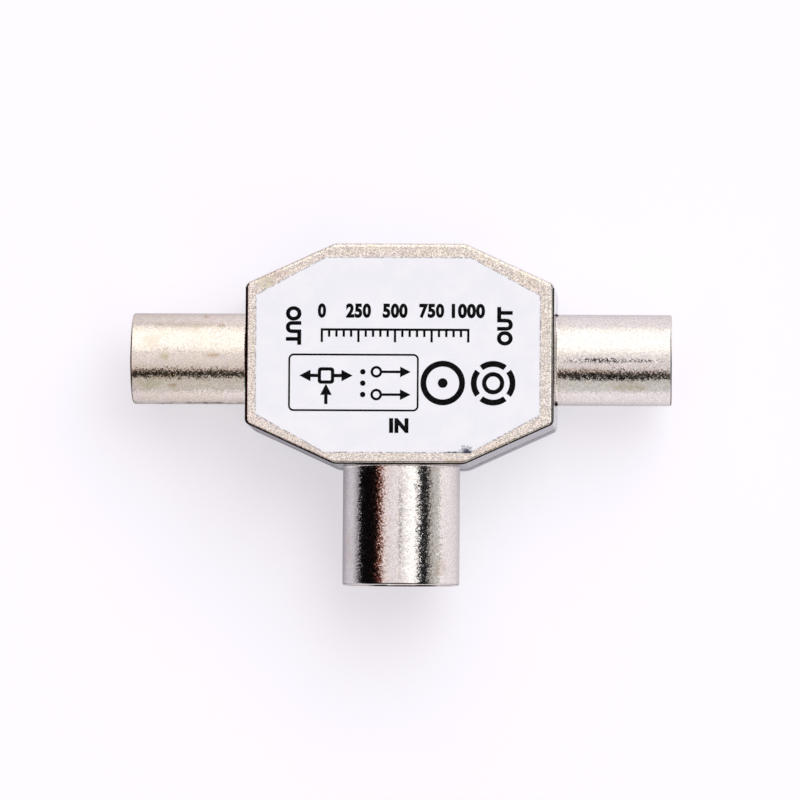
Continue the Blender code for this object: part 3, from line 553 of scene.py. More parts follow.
def inset_corners(corners, distance):
    """Moves every side of a convex outline inwards by a distance."""
    moved = []
    for i, corner in enumerate(corners):
        before = (corner - corners[i - 1]).normalized()
        after = (corners[(i + 1) % len(corners)] - corner).normalized()
        normal = Vector((-before.y, before.x))
        bisector = (normal + Vector((-after.y, after.x))).normalized()
        moved.append(corner + bisector * (distance / bisector.dot(normal)))
    return moved


def prism(low_corners, low, high_corners, high):
    """A closed block between two outlines of equal corner count."""
    bm = bmesh.new()
    for corners, height in ((low_corners, low), (high_corners, high)):
        bmesh.ops.contextual_create(bm, geom=[bm.verts.new((*corner, height)) for corner in corners])
    bmesh.ops.bridge_loops(bm, edges=bm.edges[:])
    bmesh.ops.recalc_face_normals(bm, faces=bm.faces)
    return bm


def closed_loop(bm, corners, height):
    """Adds a closed loop of edges through corners at a height."""
    verts = [bm.verts.new((*corner, height)) for corner in corners]
    return [bm.edges.new(pair) for pair in zip(verts, verts[1:] + verts[:1])]


def round_uprights(bm, radius_of_corner, segments=ROUND_STEPS):
    """Rounds a block's upright edges, each to the radius given for its place."""
    widths = {}
    for edge in bm.edges:
        low, high = sorted(edge.verts, key=lambda vert: vert.co.z)
        if high.co.z - low.co.z < NEAR or len(edge.link_faces) != 2:
            continue
        if max(abs(face.normal.z) for face in edge.link_faces) > STEEP:
            continue
        width = radius_of_corner(low.co) * math.tan(edge.calc_face_angle() / 2)
        widths.setdefault(round(width, 6), []).append(edge)
    for width, edges in widths.items():
        bevel(bm, edges, width, segments)


def round_rim(bm, height, width, segments=ROUND_STEPS):
    """Rounds the edges round a flat end face at a height."""
    rim = []
    for edge in bm.edges:
        level = all(abs(vert.co.z - height) < WELD for vert in edge.verts)
        flat = [face for face in edge.link_faces if abs(face.normal.z) > FLAT]
        if level and len(flat) == 1:
            rim.append(edge)
    bevel(bm, rim, width, segments)


# Housing

def body_corners(height, depth_in):
    """Corners of the drafted body at a height, a distance in from its outer skin."""
    growth = DRAFT_GROWTH * (1 - height / BODY_DEPTH)
    corners = octagon_corners(BODY_WIDTH, BODY_HEIGHT, CORNER_CUT_X, CORNER_CUT_Y, (0, BODY_CENTRE_Y))
    return inset_corners(corners, depth_in - growth)


def body_block(low, high, depth_in):
    """A block that follows the body between two heights, a distance in from its outer skin."""
    return prism(body_corners(low, depth_in), low, body_corners(high, depth_in), high)


def outer_radius(place):
    """Radius of the outer skin's corner near a place: small at the sides, large at the ends."""
    beside = abs(place.x) > BODY_WIDTH / 2 - CORNER_CUT_X / 2
    return SIDE_CORNER_RADIUS if beside else END_CORNER_RADIUS


def pocket(low, high, depth_in):
    """A block that hollows the body between two heights."""
    bm = body_block(low, high, depth_in)
    round_uprights(bm, lambda place: CAVITY_CORNER_RADIUS)
    return bm


def seam_ring():
    """A thin ring that cuts the die's parting seam round the body."""
    bm = bmesh.new()
    loops = []
    for depth, rise in ((SEAM_DEPTH, 0), (-SEAM_DEPTH, -SEAM_WIDTH / 2), (-SEAM_DEPTH, SEAM_WIDTH / 2)):
        loops.append(closed_loop(bm, body_corners(SEAM_HEIGHT, depth), SEAM_HEIGHT + rise))
    for first, second in ((0, 1), (1, 2), (2, 0)):
        bmesh.ops.bridge_loops(bm, edges=loops[first] + loops[second])
    bmesh.ops.recalc_face_normals(bm, faces=bm.faces)
    return bm


def sleeve_outside(port, wall, reach, diameter, root_fillet, rim_round):
    """The outside of a port: root fillet, straight sleeve and rounded rim."""
    radius, inside, sunk = diameter / 2, wall - SIDE_WALL / 2, wall - DRAFT_GROWTH / 3
    foot = radius + 2 * root_fillet
    bm = turned(
        [(inside, 0), (inside, foot), (sunk, foot), (sunk, radius), (reach, radius), (reach, 0)], PORT_STEPS)
    round_ring(bm, sunk, radius, root_fillet)
    round_ring(bm, reach, radius, rim_round)
    return at_port(bm, port)


def sleeve_inside(port, wall, reach, diameter, lead):
    """The inside of a port: eased mouth, bore, floor and the hole through the wall."""
    inside, hole, radius = wall - 2 * SIDE_WALL, WALL_HOLE_DIAMETER / 2, diameter / 2
    bm = turned([
        (inside, 0), (inside, hole), (wall, hole), (wall, radius),
        (reach - lead, radius), (reach + lead, radius + 2 * lead), (reach + lead, 0),
    ], PORT_STEPS)
    round_ring(bm, reach - lead, radius, lead / 2, EDGE_STEPS)
    return at_port(bm, port)


def board_post(east, north):
    """A tapered post from the front wall to the circuit board. Two of the four have a spigot through it."""
    board_back = AXIS_HEIGHT + TAIL_DIAMETER / 2 + SEAT_GAP
    seat, root = board_back + BOARD_THICKNESS + SEAT_GAP, CAVITY_TOP + FRONT_WALL / 2
    low, spigot = board_back - SPIGOT_PAST_BOARD, SPIGOT_DIAMETER / 2
    profile = [(low, 0), (low, spigot), (seat, spigot)] if east == north else [(seat, 0)]
    bm = turned(profile + [(seat, POST_DIAMETER / 2), (root, POST_ROOT_DIAMETER / 2), (root, 0)], PIN_STEPS)
    x = CAVITY_WIDTH / 2 - BOARD_CLEARANCE_X - POST_INSET_X
    y = CAVITY_HEIGHT / 2 - BOARD_CLEARANCE_Y - POST_INSET_Y
    bmesh.ops.translate(bm, vec=(east * x, BODY_CENTRE_Y + north * y, 0), verts=bm.verts)
    return bm


def make_housing():
    """Die-cast housing with its three sleeves and the four posts inside."""
    bm = body_block(0, BODY_DEPTH, 0)
    round_uprights(bm, outer_radius, CORNER_STEPS)
    round_rim(bm, BODY_DEPTH, FRONT_EDGE_FILLET)
    round_rim(bm, 0, BACK_EDGE_BREAK, EDGE_STEPS)
    housing = finish_mesh("cast_housing", bm)
    shape_with(housing, seam_ring(), "DIFFERENCE")
    stubs, bores, posts = bmesh.new(), bmesh.new(), bmesh.new()
    for port in ("out_left", "out_right"):
        merge(stubs, sleeve_outside(
            port, OUT_WALL, OUT_REACH, OUT_SLEEVE_DIAMETER, OUT_ROOT_FILLET, OUT_RIM_ROUND))
        merge(bores, sleeve_inside(port, OUT_WALL, OUT_REACH, OUT_SLEEVE_BORE, OUT_RIM_LEAD))
    merge(stubs, sleeve_outside("in", IN_WALL, IN_REACH, IN_SHELL_DIAMETER, IN_ROOT_FILLET, IN_RIM_ROUND))
    merge(bores, sleeve_inside("in", IN_WALL, IN_REACH, IN_SHELL_BORE, IN_RIM_LEAD))
    for east, north in ((-1, -1), (1, 1), (-1, 1), (1, -1)):
        merge(posts, board_post(east, north))
    shape_with(housing, stubs, "UNION")
    shape_with(housing, pocket(-PAST_BACK, REBATE_DEPTH, RIM_WALL), "DIFFERENCE")
    shape_with(housing, pocket(REBATE_DEPTH / 2, CAVITY_TOP, SIDE_WALL), "DIFFERENCE")
    shape_with(housing, bores, "DIFFERENCE")
    shape_with(housing, posts, "UNION")
    step = housing.modifiers.new("even_shading", "WEIGHTED_NORMAL")
    step.keep_sharp = True
    step.weight = NORMAL_WEIGHT
    return housing


# Label and print

def make_label():
    """Film label, its die-cut outline a step inside the body's."""
    corners = octagon_corners(
        BODY_WIDTH - 2 * LABEL_MARGIN_X, BODY_HEIGHT - 2 * LABEL_MARGIN_Y,
        CORNER_CUT_X - LABEL_CUT_LESS_X, CORNER_CUT_Y - LABEL_CUT_LESS_Y,
        (LABEL_SHIFT[0], BODY_CENTRE_Y + LABEL_SHIFT[1]),
    )
    bm = prism(corners, LABEL_BOTTOM, corners, LABEL_TOP)
    round_uprights(bm, lambda place: LABEL_CORNER_RADIUS)
    return finish_mesh("film_label", bm)


def raise_ink(bm, faces):
    """Gives flat faces the ink's thickness."""
    raised = bmesh.ops.extrude_face_region(bm, geom=faces)["geom"]
    verts = [part for part in raised if isinstance(part, bmesh.types.BMVert)]
    bmesh.ops.translate(bm, vec=(0, 0, INK_THICKNESS), verts=verts)


def print_piece(name, shapes):
    """One printed mark, from a list of shapes, each an outside outline and its holes."""
    bm = bmesh.new()
    for outlines in shapes:
        edges = [edge for outline in outlines for edge in closed_loop(bm, outline, INK_BOTTOM)]
        made = bmesh.ops.triangle_fill(bm, use_beauty=True, use_dissolve=False, edges=edges)["geom"]
        raise_ink(bm, [part for part in made if isinstance(part, bmesh.types.BMFace)])
    return finish_mesh(name, bm)


def arc(centre, radius, first, last, steps):
    """Points along an arc between two angles in degrees."""
    turns = [math.radians(first + (last - first) * i / steps) for i in range(steps + 1)]
    return [(centre[0] + radius * math.cos(turn), centre[1] + radius * math.sin(turn)) for turn in turns]


def circle(centre, radius):
    """Points round a circle."""
    return arc(centre, radius, 0, 360, PRINT_STEPS)[:-1]


def ring(centre, radius, line):
    """A printed ring: its outside and its hole."""
    return [circle(centre, radius), circle(centre, radius - line)]


def bar(start, end, width):
    """Corners of a straight printed stroke."""
    start, end = Vector(start), Vector(end)
    across = (end - start).normalized().orthogonal() * width / 2
    return [start - across, end - across, end + across, start + across]


def arrow(start, tip, line, length, width):
    """Two printed shapes: a stroke and the solid head at its tip."""
    start, tip = Vector(start), Vector(tip)
    along = (tip - start).normalized()
    back, across = tip - along * length, along.orthogonal() * width / 2
    return [[bar(start, back, line)], [[back - across, tip, back + across]]]


def rounded_frame(low, high, radius, line, hole_radius):
    """A printed box with round corners, and its hole."""
    shape = []
    for inset, round_off in ((0, radius), (line, hole_radius)):
        left, right = low[0] + inset + round_off, high[0] - inset - round_off
        bottom, top = low[1] + inset + round_off, high[1] - inset - round_off
        outline = []
        for i, centre in enumerate(((right, top), (left, top), (left, bottom), (right, bottom))):
            outline += arc(centre, round_off, 90 * i, 90 * (i + 1), FRAME_CORNER_STEPS)
        shape.append(outline)
    return shape


def print_word(name, word, low, high, turn=0.0, weight=LEGEND_WEIGHT):
    """Printed figures or a port's legend, fitted to a box on the label's face."""
    text = bpy.data.curves.new(name, "FONT")
    text.body = word
    text.offset = weight
    text.space_character = WORD_SPACING
    text.resolution_u = TEXT_STEPS
    holder = place_in_scene(name + "_text", text)
    flat = seen_mesh(holder)
    bpy.data.objects.remove(holder)
    bpy.data.curves.remove(text)
    bm = bmesh.new()
    bm.from_mesh(flat)
    bpy.data.meshes.remove(flat)
    bmesh.ops.remove_doubles(bm, verts=bm.verts, dist=WELD)
    bmesh.ops.rotate(bm, cent=(0, 0, 0), matrix=Matrix.Rotation(math.radians(turn), 3, "Z"), verts=bm.verts)
    ends = [[function(vert.co[axis] for vert in bm.verts) for axis in (0, 1)] for function in (min, max)]
    scale = [(high[axis] - low[axis]) / (ends[1][axis] - ends[0][axis]) for axis in (0, 1)]
    for vert in bm.verts:
        x, y = (low[axis] + (vert.co[axis] - ends[0][axis]) * scale[axis] for axis in (0, 1))
        vert.co = (x, y, INK_BOTTOM)
    raise_ink(bm, bm.faces[:])
    return finish_mesh(name, bm)


def make_print():
    """Everything printed on the label: port legends, a plain scale and line symbols."""
    marks = [print_word(name, *legend) for name, legend in LEGENDS.items()]
    for i, figure in enumerate(SCALE_FIGURES):
        middle = SCALE_SHIFT + SCALE_PITCH * (i - (len(SCALE_FIGURES) - 1) / 2)
        half = SCALE_DIGIT_WIDTH * len(figure) / 2
        low, high = (middle - half, SCALE_FIGURE_LOW), (middle + half, SCALE_FIGURE_HIGH)
        marks.append(print_word("scale_figure_" + figure, figure, low, high, weight=FIGURE_WEIGHT))
    frame_shape = rounded_frame(FRAME_LOW, FRAME_HIGH, FRAME_RADIUS, FRAME_LINE, FRAME_RADIUS - FRAME_LINE)
    plug = [ring(PLUG_SYMBOL, RING_RADIUS, RING_LINE), [circle(PLUG_SYMBOL, PLUG_DOT_RADIUS)]]
    for name, shapes in (
        ("scale_ticks", scale_shapes()), ("symbol_frame", [frame_shape]),
        ("splitter_symbol", splitter_shapes()), ("path_symbols", path_shapes()),
        ("plug_symbol", plug), ("socket_symbol", socket_shapes()),
    ):
        marks.append(print_piece(name, shapes))
    return marks


def scale_shapes():
    """Printed rule with long and short ticks, under its figures."""
    reach = SCALE_PITCH * (len(SCALE_FIGURES) - 1) / 2
    ends = [(SCALE_SHIFT + side * (reach + SCALE_LINE / 2), SCALE_TOP) for side in (-1, 1)]
    shapes = [[bar(*ends, SCALE_LINE)]]
    count = SCALE_PARTS * (len(SCALE_FIGURES) - 1)
    for i in range(count + 1):
        x = SCALE_SHIFT - reach + 2 * reach * i / count
        length = SCALE_LONG_TICK if i % SCALE_PARTS == 0 else SCALE_SHORT_TICK
        shapes.append([bar((x, SCALE_TOP - SCALE_LINE / 2), (x, SCALE_TOP - length), SCALE_LINE)])
    return shapes


def splitter_shapes():
    """Line symbol of the splitter: one way in from below, a box, two ways out."""
    centre, half = Vector(NODE_CENTRE), Vector((NODE_HALF, NODE_HALF))
    shapes = [rounded_frame(centre - half, centre + half, NODE_LINE, NODE_LINE, NODE_LINE / 3)]
    for way, start, end in (
        ((-1, 0), NODE_HALF, ARM_REACH), ((1, 0), NODE_HALF, ARM_REACH), ((0, -1), STEM_REACH, NODE_HALF),
    ):
        along = Vector(way)
        shapes += arrow(centre + along * start, centre + along * end, NODE_LINE, HEAD_LENGTH, HEAD_WIDTH)
    return shapes


def path_shapes():
    """Small rings and arrows beside the splitter's symbol, one row for each way out."""
    shapes = []
    for row in PATH_ROWS:
        shapes.append(ring((PATH_LEFT + PATH_RING, row), PATH_RING, PATH_LINE))
        shapes += arrow((PATH_LEFT + 2 * PATH_RING, row), (PATH_RIGHT, row), PATH_LINE, PATH_HEAD, PATH_HEAD)
    for row in (PATH_ROWS[0], sum(PATH_ROWS) / 2, PATH_ROWS[1]):
        shapes.append([circle((PATH_DOTS, row), PATH_DOT_RADIUS)])
    return shapes


def socket_shapes():
    """A socket seen end on: its slotted sleeve and its hollow contact."""
    shapes = []
    for i in range(RING_GAPS):
        start = 360 / RING_GAPS * i + RING_GAP_ANGLE / 2 + RING_TURN
        end = start + 360 / RING_GAPS - RING_GAP_ANGLE
        outside = arc(SOCKET_SYMBOL, RING_RADIUS, start, end, BAND_STEPS)
        shapes.append([outside + arc(SOCKET_SYMBOL, RING_RADIUS - RING_LINE, end, start, BAND_STEPS)])
    return shapes + [ring(SOCKET_SYMBOL, SOCKET_RING_RADIUS, SOCKET_RING_LINE)]


# Contacts and insulators

def make_output_insulator(port):
    """Moulded disc and spigot that hold an output's pin."""
    back = OUT_WALL + SEAT_GAP
    face = back + OUT_DISC_THICKNESS
    end, seat = OUT_WALL - SIDE_WALL - SPIGOT_PROUD, face - OUT_PIN_SEAT
    disc, spigot = OUT_SLEEVE_BORE / 2 - FIT, WALL_HOLE_DIAMETER / 2 - FIT
    pin, tail = OUT_PIN_DIAMETER / 2 + FIT, TAIL_DIAMETER / 2 + FIT
    dish, floor = (OUT_PIN_DIAMETER / 2 + disc) / 2, face - DISH_DEPTH
    outer, inner = dish + DISH_WIDTH / 2, dish - DISH_WIDTH / 2
    bm = turned([
        (end, tail), (end, spigot), (back, spigot), (back, disc), (face, disc),
        (face, outer), (floor, outer), (floor, inner), (face, inner),
        (face, pin), (seat, pin), (seat, tail),
    ], PORT_STEPS)
    for radius in (disc, outer, inner, pin):
        round_ring(bm, face, radius, MOULD_ROUND, MOULD_STEPS)
    round_ring(bm, end, spigot, MOULD_ROUND, MOULD_STEPS)
    return finish_mesh("moulded_" + port + "_insulator", at_port(bm, port))


def make_output_pin(port):
    """Turned centre pin of an output, with its domed nose."""
    seat = OUT_WALL + SEAT_GAP + OUT_DISC_THICKNESS - OUT_PIN_SEAT + SEAT_GAP
    tip, pin, tail = OUT_REACH - OUT_PIN_RECESS, OUT_PIN_DIAMETER / 2, TAIL_DIAMETER / 2
    profile = [(OUT_TAIL_END, 0), (OUT_TAIL_END, tail), (seat, tail), (seat, pin)]
    for i in range(NOSE_STEPS + 1):
        angle = math.pi / 2 * i / NOSE_STEPS
        along = tip - OUT_PIN_NOSE + OUT_PIN_NOSE * math.sin(angle)
        profile.append((along, OUT_PIN_NOSE_FLAT + (pin - OUT_PIN_NOSE_FLAT) * math.cos(angle)))
    profile.append((tip, 0))
    return finish_mesh("turned_" + port + "_pin", at_port(turned(profile, PIN_STEPS), port))


def make_input_insulator():
    """Moulded nose that carries the input's centre contact."""
    back = IN_WALL + SEAT_GAP
    disc_face, face = back + IN_DISC_THICKNESS, IN_REACH - IN_NOSE_RECESS
    end = IN_WALL - SIDE_WALL - SPIGOT_PROUD
    disc = IN_SHELL_BORE / 2 - FIT - SPRING_THICKNESS - FIT
    spigot, nose = WALL_HOLE_DIAMETER / 2 - FIT, IN_NOSE_DIAMETER / 2
    contact, tail = SOCKET_DIAMETER / 2 + FIT, TAIL_DIAMETER / 2 + FIT
    bm = turned([
        (end, tail), (end, spigot), (back, spigot), (back, disc), (disc_face, disc),
        (disc_face, nose), (face, nose), (face, contact), (CONTACT_SEAT, contact), (CONTACT_SEAT, tail),
    ], PORT_STEPS)
    round_ring(bm, face, nose, IN_NOSE_ROUND)
    round_ring(bm, face, contact, MOULD_ROUND, MOULD_STEPS)
    round_ring(bm, disc_face, disc, MOULD_ROUND, MOULD_STEPS)
    return finish_mesh("moulded_in_insulator", at_port(bm, "in"))


def make_socket_contact():
    """Slotted tube that grips the centre pin of the lead plugged into the input."""
    base = CONTACT_SEAT + SEAT_GAP
    mouth = IN_REACH - IN_NOSE_RECESS - SOCKET_RECESS
    outer, bore, tail = SOCKET_DIAMETER / 2, SOCKET_BORE / 2, TAIL_DIAMETER / 2
    bm = turned([
        (IN_TAIL_END, 0), (IN_TAIL_END, tail), (base, tail), (base, outer), (mouth, outer),
        (mouth, bore + SOCKET_LEAD), (mouth - SOCKET_LEAD, bore),
        (mouth - SOCKET_BORE_DEPTH, bore), (mouth - SOCKET_BORE_DEPTH, 0),
    ], PIN_STEPS)
    round_ring(bm, mouth, outer, SOCKET_LEAD / 2, MOULD_STEPS)
    socket = finish_mesh("slotted_in_contact", at_port(bm, "in"))
    across = SOCKET_DIAMETER + 2 * SOCKET_SLOT_WIDTH
    length = SOCKET_SLOT_DEPTH + SOCKET_SLOT_WIDTH
    middle = mouth - SOCKET_SLOT_DEPTH + length / 2
    for size in ((across, SOCKET_SLOT_WIDTH, length), (SOCKET_SLOT_WIDTH, across, length)):
        shape_with(socket, at_port(box(size, (0, 0, middle)), "in"), "DIFFERENCE")
    return socket


def make_earth_sleeve():
    """Sprung sleeve with bowed fingers, as stamped and rolled from strip."""
    start = IN_WALL + SEAT_GAP
    ring_end, tip = start + SPRING_RING_LENGTH, IN_REACH - SPRING_TIP_RECESS
    radius, half = IN_SHELL_BORE / 2 - FIT, SPRING_SLOT_WIDTH / 2
    skin = [(start, radius)]
    for i in range(SPRING_BOW_STEPS + 1):
        share = i / SPRING_BOW_STEPS
        bow = SPRING_BOW * math.sin(math.pi * share)
        skin.append((ring_end + (tip - ring_end) * share, radius - bow))
    inner = [(distance, reach - SPRING_THICKNESS) for distance, reach in reversed(skin)]
    bm = turned(skin + inner, PORT_STEPS)
    for reach in (radius, radius - SPRING_THICKNESS):
        round_ring(bm, tip, reach, SPRING_EDGE_BREAK, EDGE_STEPS)
    sleeve = finish_mesh("sprung_earth_sleeve", at_port(bm, "in"))
    slots = bmesh.new()
    length = tip - ring_end + SPRING_SLOT_WIDTH
    for i in range(SPRING_FINGERS):
        slot = box((radius, SPRING_SLOT_WIDTH, length), (radius, 0, ring_end + length / 2))
        root = turned([(0, 0), (0, half), (radius, half), (radius, 0)], PIN_STEPS)
        lay = Matrix.Translation((radius / 2, 0, ring_end)) @ Matrix.Rotation(math.pi / 2, 4, "Y")
        bmesh.ops.transform(root, matrix=lay, verts=root.verts)
        turn = Matrix.Rotation(math.tau * (i + 0.5) / SPRING_FINGERS, 4, "Z")
        for part in (slot, root):
            bmesh.ops.transform(part, matrix=turn, verts=part.verts)
            merge(slots, part)
    shape_with(sleeve, at_port(slots, "in"), "DIFFERENCE")
    return sleeve


# Nodes

class Nodes:
    """A node tree, and short calls that add to it. A value may be another node's output."""

    def __init__(self, tree):
        self.tree = tree

    def feed(self, node, inputs):
        """Links or sets a node's inputs. A colour may leave out its alpha."""
        for name, value in inputs.items():
            socket = node.inputs[name]
            if isinstance(value, bpy.types.NodeSocket):
                self.tree.links.new(value, socket)
            else:
                socket.default_value = (*value, 1) if socket.type == "RGBA" else value

    def add(self, kind, inputs=None, **settings):
        """Adds a node, sets it and feeds its inputs."""
        made = self.tree.nodes.new("ShaderNode" + kind)
        for name, value in settings.items():
            setattr(made, name, value)
        self.feed(made, inputs or {})
        return made

    def math(self, operation, *values, clamp=False):
        """One sum of a Math node."""
        return self.add("Math", dict(enumerate(values)), operation=operation, use_clamp=clamp).outputs[0]

    def times(self, *values):
        """Values or masks multiplied together."""
        return reduce(lambda first, second: self.math("MULTIPLY", first, second), values)

    def most(self, *values):
        """The largest of several values."""
        return reduce(lambda first, second: self.math("MAXIMUM", first, second), values)

    def size(self, value):
        """A value without its sign."""
        return self.math("ABSOLUTE", value)

    def vector(self, operation, *values):
        """One sum of a Vector Math node, as a number where it gives one."""
        made = self.add("VectorMath", dict(enumerate(values)), operation=operation)
        return made.outputs[1 if operation in ("LENGTH", "DOT_PRODUCT") else 0]

    def split(self, vector):
        """The three parts of a vector."""
        return self.add("SeparateXYZ", {0: vector}).outputs

    def mix(self, factor, first, second, blend="MIX"):
        """Mixes two colours."""
        inputs = {0: factor, 6: first, 7: second}
        return self.add("Mix", inputs, data_type="RGBA", blend_type=blend).outputs[2]

    def stretch(self, value, low, high, start=0.0, end=1.0):
        """Maps low..high onto start..end, with no overshoot."""
        return self.add("MapRange", {0: value, 1: low, 2: high, 3: start, 4: end}).outputs[0]

    def noise(self, size, detail=2.0, roughness=0.55, place=None):
        """Noise with waves of a size in millimetres, on the object's own coordinates."""
        return self.add("TexNoise", {
            "Vector": place or self.millimetres, "Scale": self.math("DIVIDE", 1.0, size),
            "Detail": detail, "Roughness": roughness}).outputs["Fac"]

    def use(self, group, **values):
        """Places a shared group with its own values."""
        made = self.add("Group", node_tree=group)
        self.feed(made, {name.replace("_", " ").title(): value for name, value in values.items()})
        return made.outputs

    @cached_property
    def coordinates(self):
        """The tree's own coordinates."""
        return self.add("TexCoord").outputs

    @cached_property
    def millimetres(self):
        """The object's own coordinates in millimetres."""
        return self.vector("MULTIPLY", self.coordinates["Object"], (1 / MM,) * 3)

    @cached_property
    def place(self):
        """East, north and height in millimetres."""
        return self.split(self.millimetres)

    @cached_property
    def facing(self):
        """The three parts of the surface's normal."""
        return self.split(self.coordinates["Normal"])


def new_group(name, inputs, outputs):
    """A node group with named sockets: its nodes, its inputs' values and its output node."""
    tree = bpy.data.node_groups.new(name, "ShaderNodeTree")
    for socket, (kind, value) in inputs.items():
        made = tree.interface.new_socket(socket, in_out="INPUT", socket_type="NodeSocket" + kind)
        made.default_value = value
    for socket, kind in outputs.items():
        tree.interface.new_socket(socket, in_out="OUTPUT", socket_type="NodeSocket" + kind)
    return Nodes(tree), tree.nodes.new("NodeGroupInput").outputs, tree.nodes.new("NodeGroupOutput")


def make_grain_group():
    """Fine surface grain over a slower unevenness, as a normal and a 0..1 height."""
    nodes, given, result = new_group(
        "surface_grain",
        {"Grain Size": ("Float", 0.2), "Grain Depth": ("Float", 0.01),
         "Wave Size": ("Float", 2.0), "Wave Depth": ("Float", 0.01)},
        {"Normal": "Vector", "Height": "Float"},
    )
    normal = {}
    for kind, detail in (("Wave", 1.0), ("Grain", 2.5)):
        height = nodes.noise(given[kind + " Size"], detail)
        depth = nodes.times(given[kind + " Depth"], MM)
        bump = nodes.add("Bump", {"Strength": 1.0, "Distance": depth, "Height": height, **normal})
        normal = {"Normal": bump.outputs[0]}
    nodes.feed(result, {**normal, "Height": height})
    return nodes.tree


def make_drift_group():
    """Slow change between two tones over a surface, as a colour and a mask."""
    nodes, given, result = new_group(
        "tone_drift",
        {"Tone": ("Color", (1, 1, 1, 1)), "Other Tone": ("Color", (1, 1, 1, 1)),
         "Patch Size": ("Float", 5.0), "Contrast": ("Float", 0.3)},
        {"Color": "Color", "Mask": "Float"},
    )
    low, high = (nodes.math(operation, 0.5, given["Contrast"]) for operation in ("SUBTRACT", "ADD"))
    mask = nodes.stretch(nodes.noise(given["Patch Size"], 4.0, 0.6), low, high)
    nodes.feed(result, {"Mask": mask, "Color": nodes.mix(mask, given["Tone"], given["Other Tone"])})
    return nodes.tree


def make_facet_group():
    """Tiny mirror facets of a cast or blasted skin, each tilted its own way."""
    nodes, given, result = new_group(
        "bright_facets",
        {"Facet Size": ("Float", 0.12), "Tilt": ("Float", 0.1), "Normal": ("Vector", (0, 0, 1))},
        {"Normal": "Vector", "Spark": "Float", "Hue": "Float"},
    )
    scale = nodes.math("DIVIDE", 1.0, given["Facet Size"])
    cells = nodes.add("TexVoronoi", {"Vector": nodes.millimetres, "Scale": scale}).outputs["Color"]
    lean = nodes.vector("MULTIPLY_ADD", cells, (2, 2, 2), (-1, -1, -1))
    steep = nodes.vector("MULTIPLY", lean, nodes.vector("ABSOLUTE", lean))
    tilted = nodes.vector("ADD", given["Normal"], nodes.vector("MULTIPLY", steep, given["Tilt"]))
    chance = nodes.add("SeparateColor", {0: cells}).outputs
    nodes.feed(result, {"Normal": nodes.vector("NORMALIZE", tilted), "Spark": chance[0], "Hue": chance[1]})
    return nodes.tree


def make_stain_group():
    """One soft, ragged spot at a place in millimetres, as a mask."""
    nodes, given, result = new_group(
        "ragged_spot",
        {"Centre": ("Vector", (0, 0, 0)), "Reach": ("Vector", (1, 1, 1)),
         "Rag Size": ("Float", 0.5), "Strength": ("Float", 1.0)},
        {"Mask": "Float"},
    )
    offset = nodes.vector("SUBTRACT", nodes.millimetres, given["Centre"])
    distance = nodes.vector("LENGTH", nodes.vector("DIVIDE", offset, given["Reach"]))
    ragged = nodes.math("MULTIPLY_ADD", nodes.noise(given["Rag Size"], 4.0, 0.7), 2.6, -0.35)
    inside = nodes.stretch(nodes.math("SUBTRACT", ragged, distance), 0.0, 0.7)
    nodes.feed(result, {"Mask": nodes.times(inside, given["Strength"])})
    return nodes.tree


def make_drawn_group():
    """Fine lines left by turning, drawing or brushing, across a given direction."""
    nodes, given, result = new_group(
        "drawn_lines",
        {"Across": ("Vector", (1, 0.02, 0.02)), "Line Size": ("Float", 0.08), "Depth": ("Float", 0.002)},
        {"Normal": "Vector", "Height": "Float"},
    )
    squeezed = nodes.vector("MULTIPLY", nodes.millimetres, given["Across"])
    lines = nodes.noise(given["Line Size"], 3.0, 0.7, squeezed)
    bump = nodes.add("Bump", {"Strength": 1.0, "Distance": nodes.times(given["Depth"], MM), "Height": lines})
    nodes.feed(result, {"Normal": bump.outputs[0], "Height": lines})
    return nodes.tree


# Materials

def new_material(name, inputs):
    """A material, its nodes and its Principled shader with its own values."""
    material = bpy.data.materials.new(name)
    material.use_nodes = True
    nodes = Nodes(material.node_tree)
    shader = nodes.tree.nodes["Principled BSDF"]
    nodes.feed(shader, inputs)
    return material, nodes, shader


def drift(nodes, groups, tones, size, contrast):
    """Two tones in soft patches, as a colour."""
    return nodes.use(
        groups["drift"], tone=tones[0], other_tone=tones[1], patch_size=size, contrast=contrast)["Color"]


def spots(nodes, groups, places):
    """One mask from several ragged spots: (centre, reach, rag size, strength) each."""
    names = ("centre", "reach", "rag_size", "strength")
    return nodes.most(*(nodes.use(groups["stain"], **dict(zip(names, spot)))["Mask"] for spot in places))


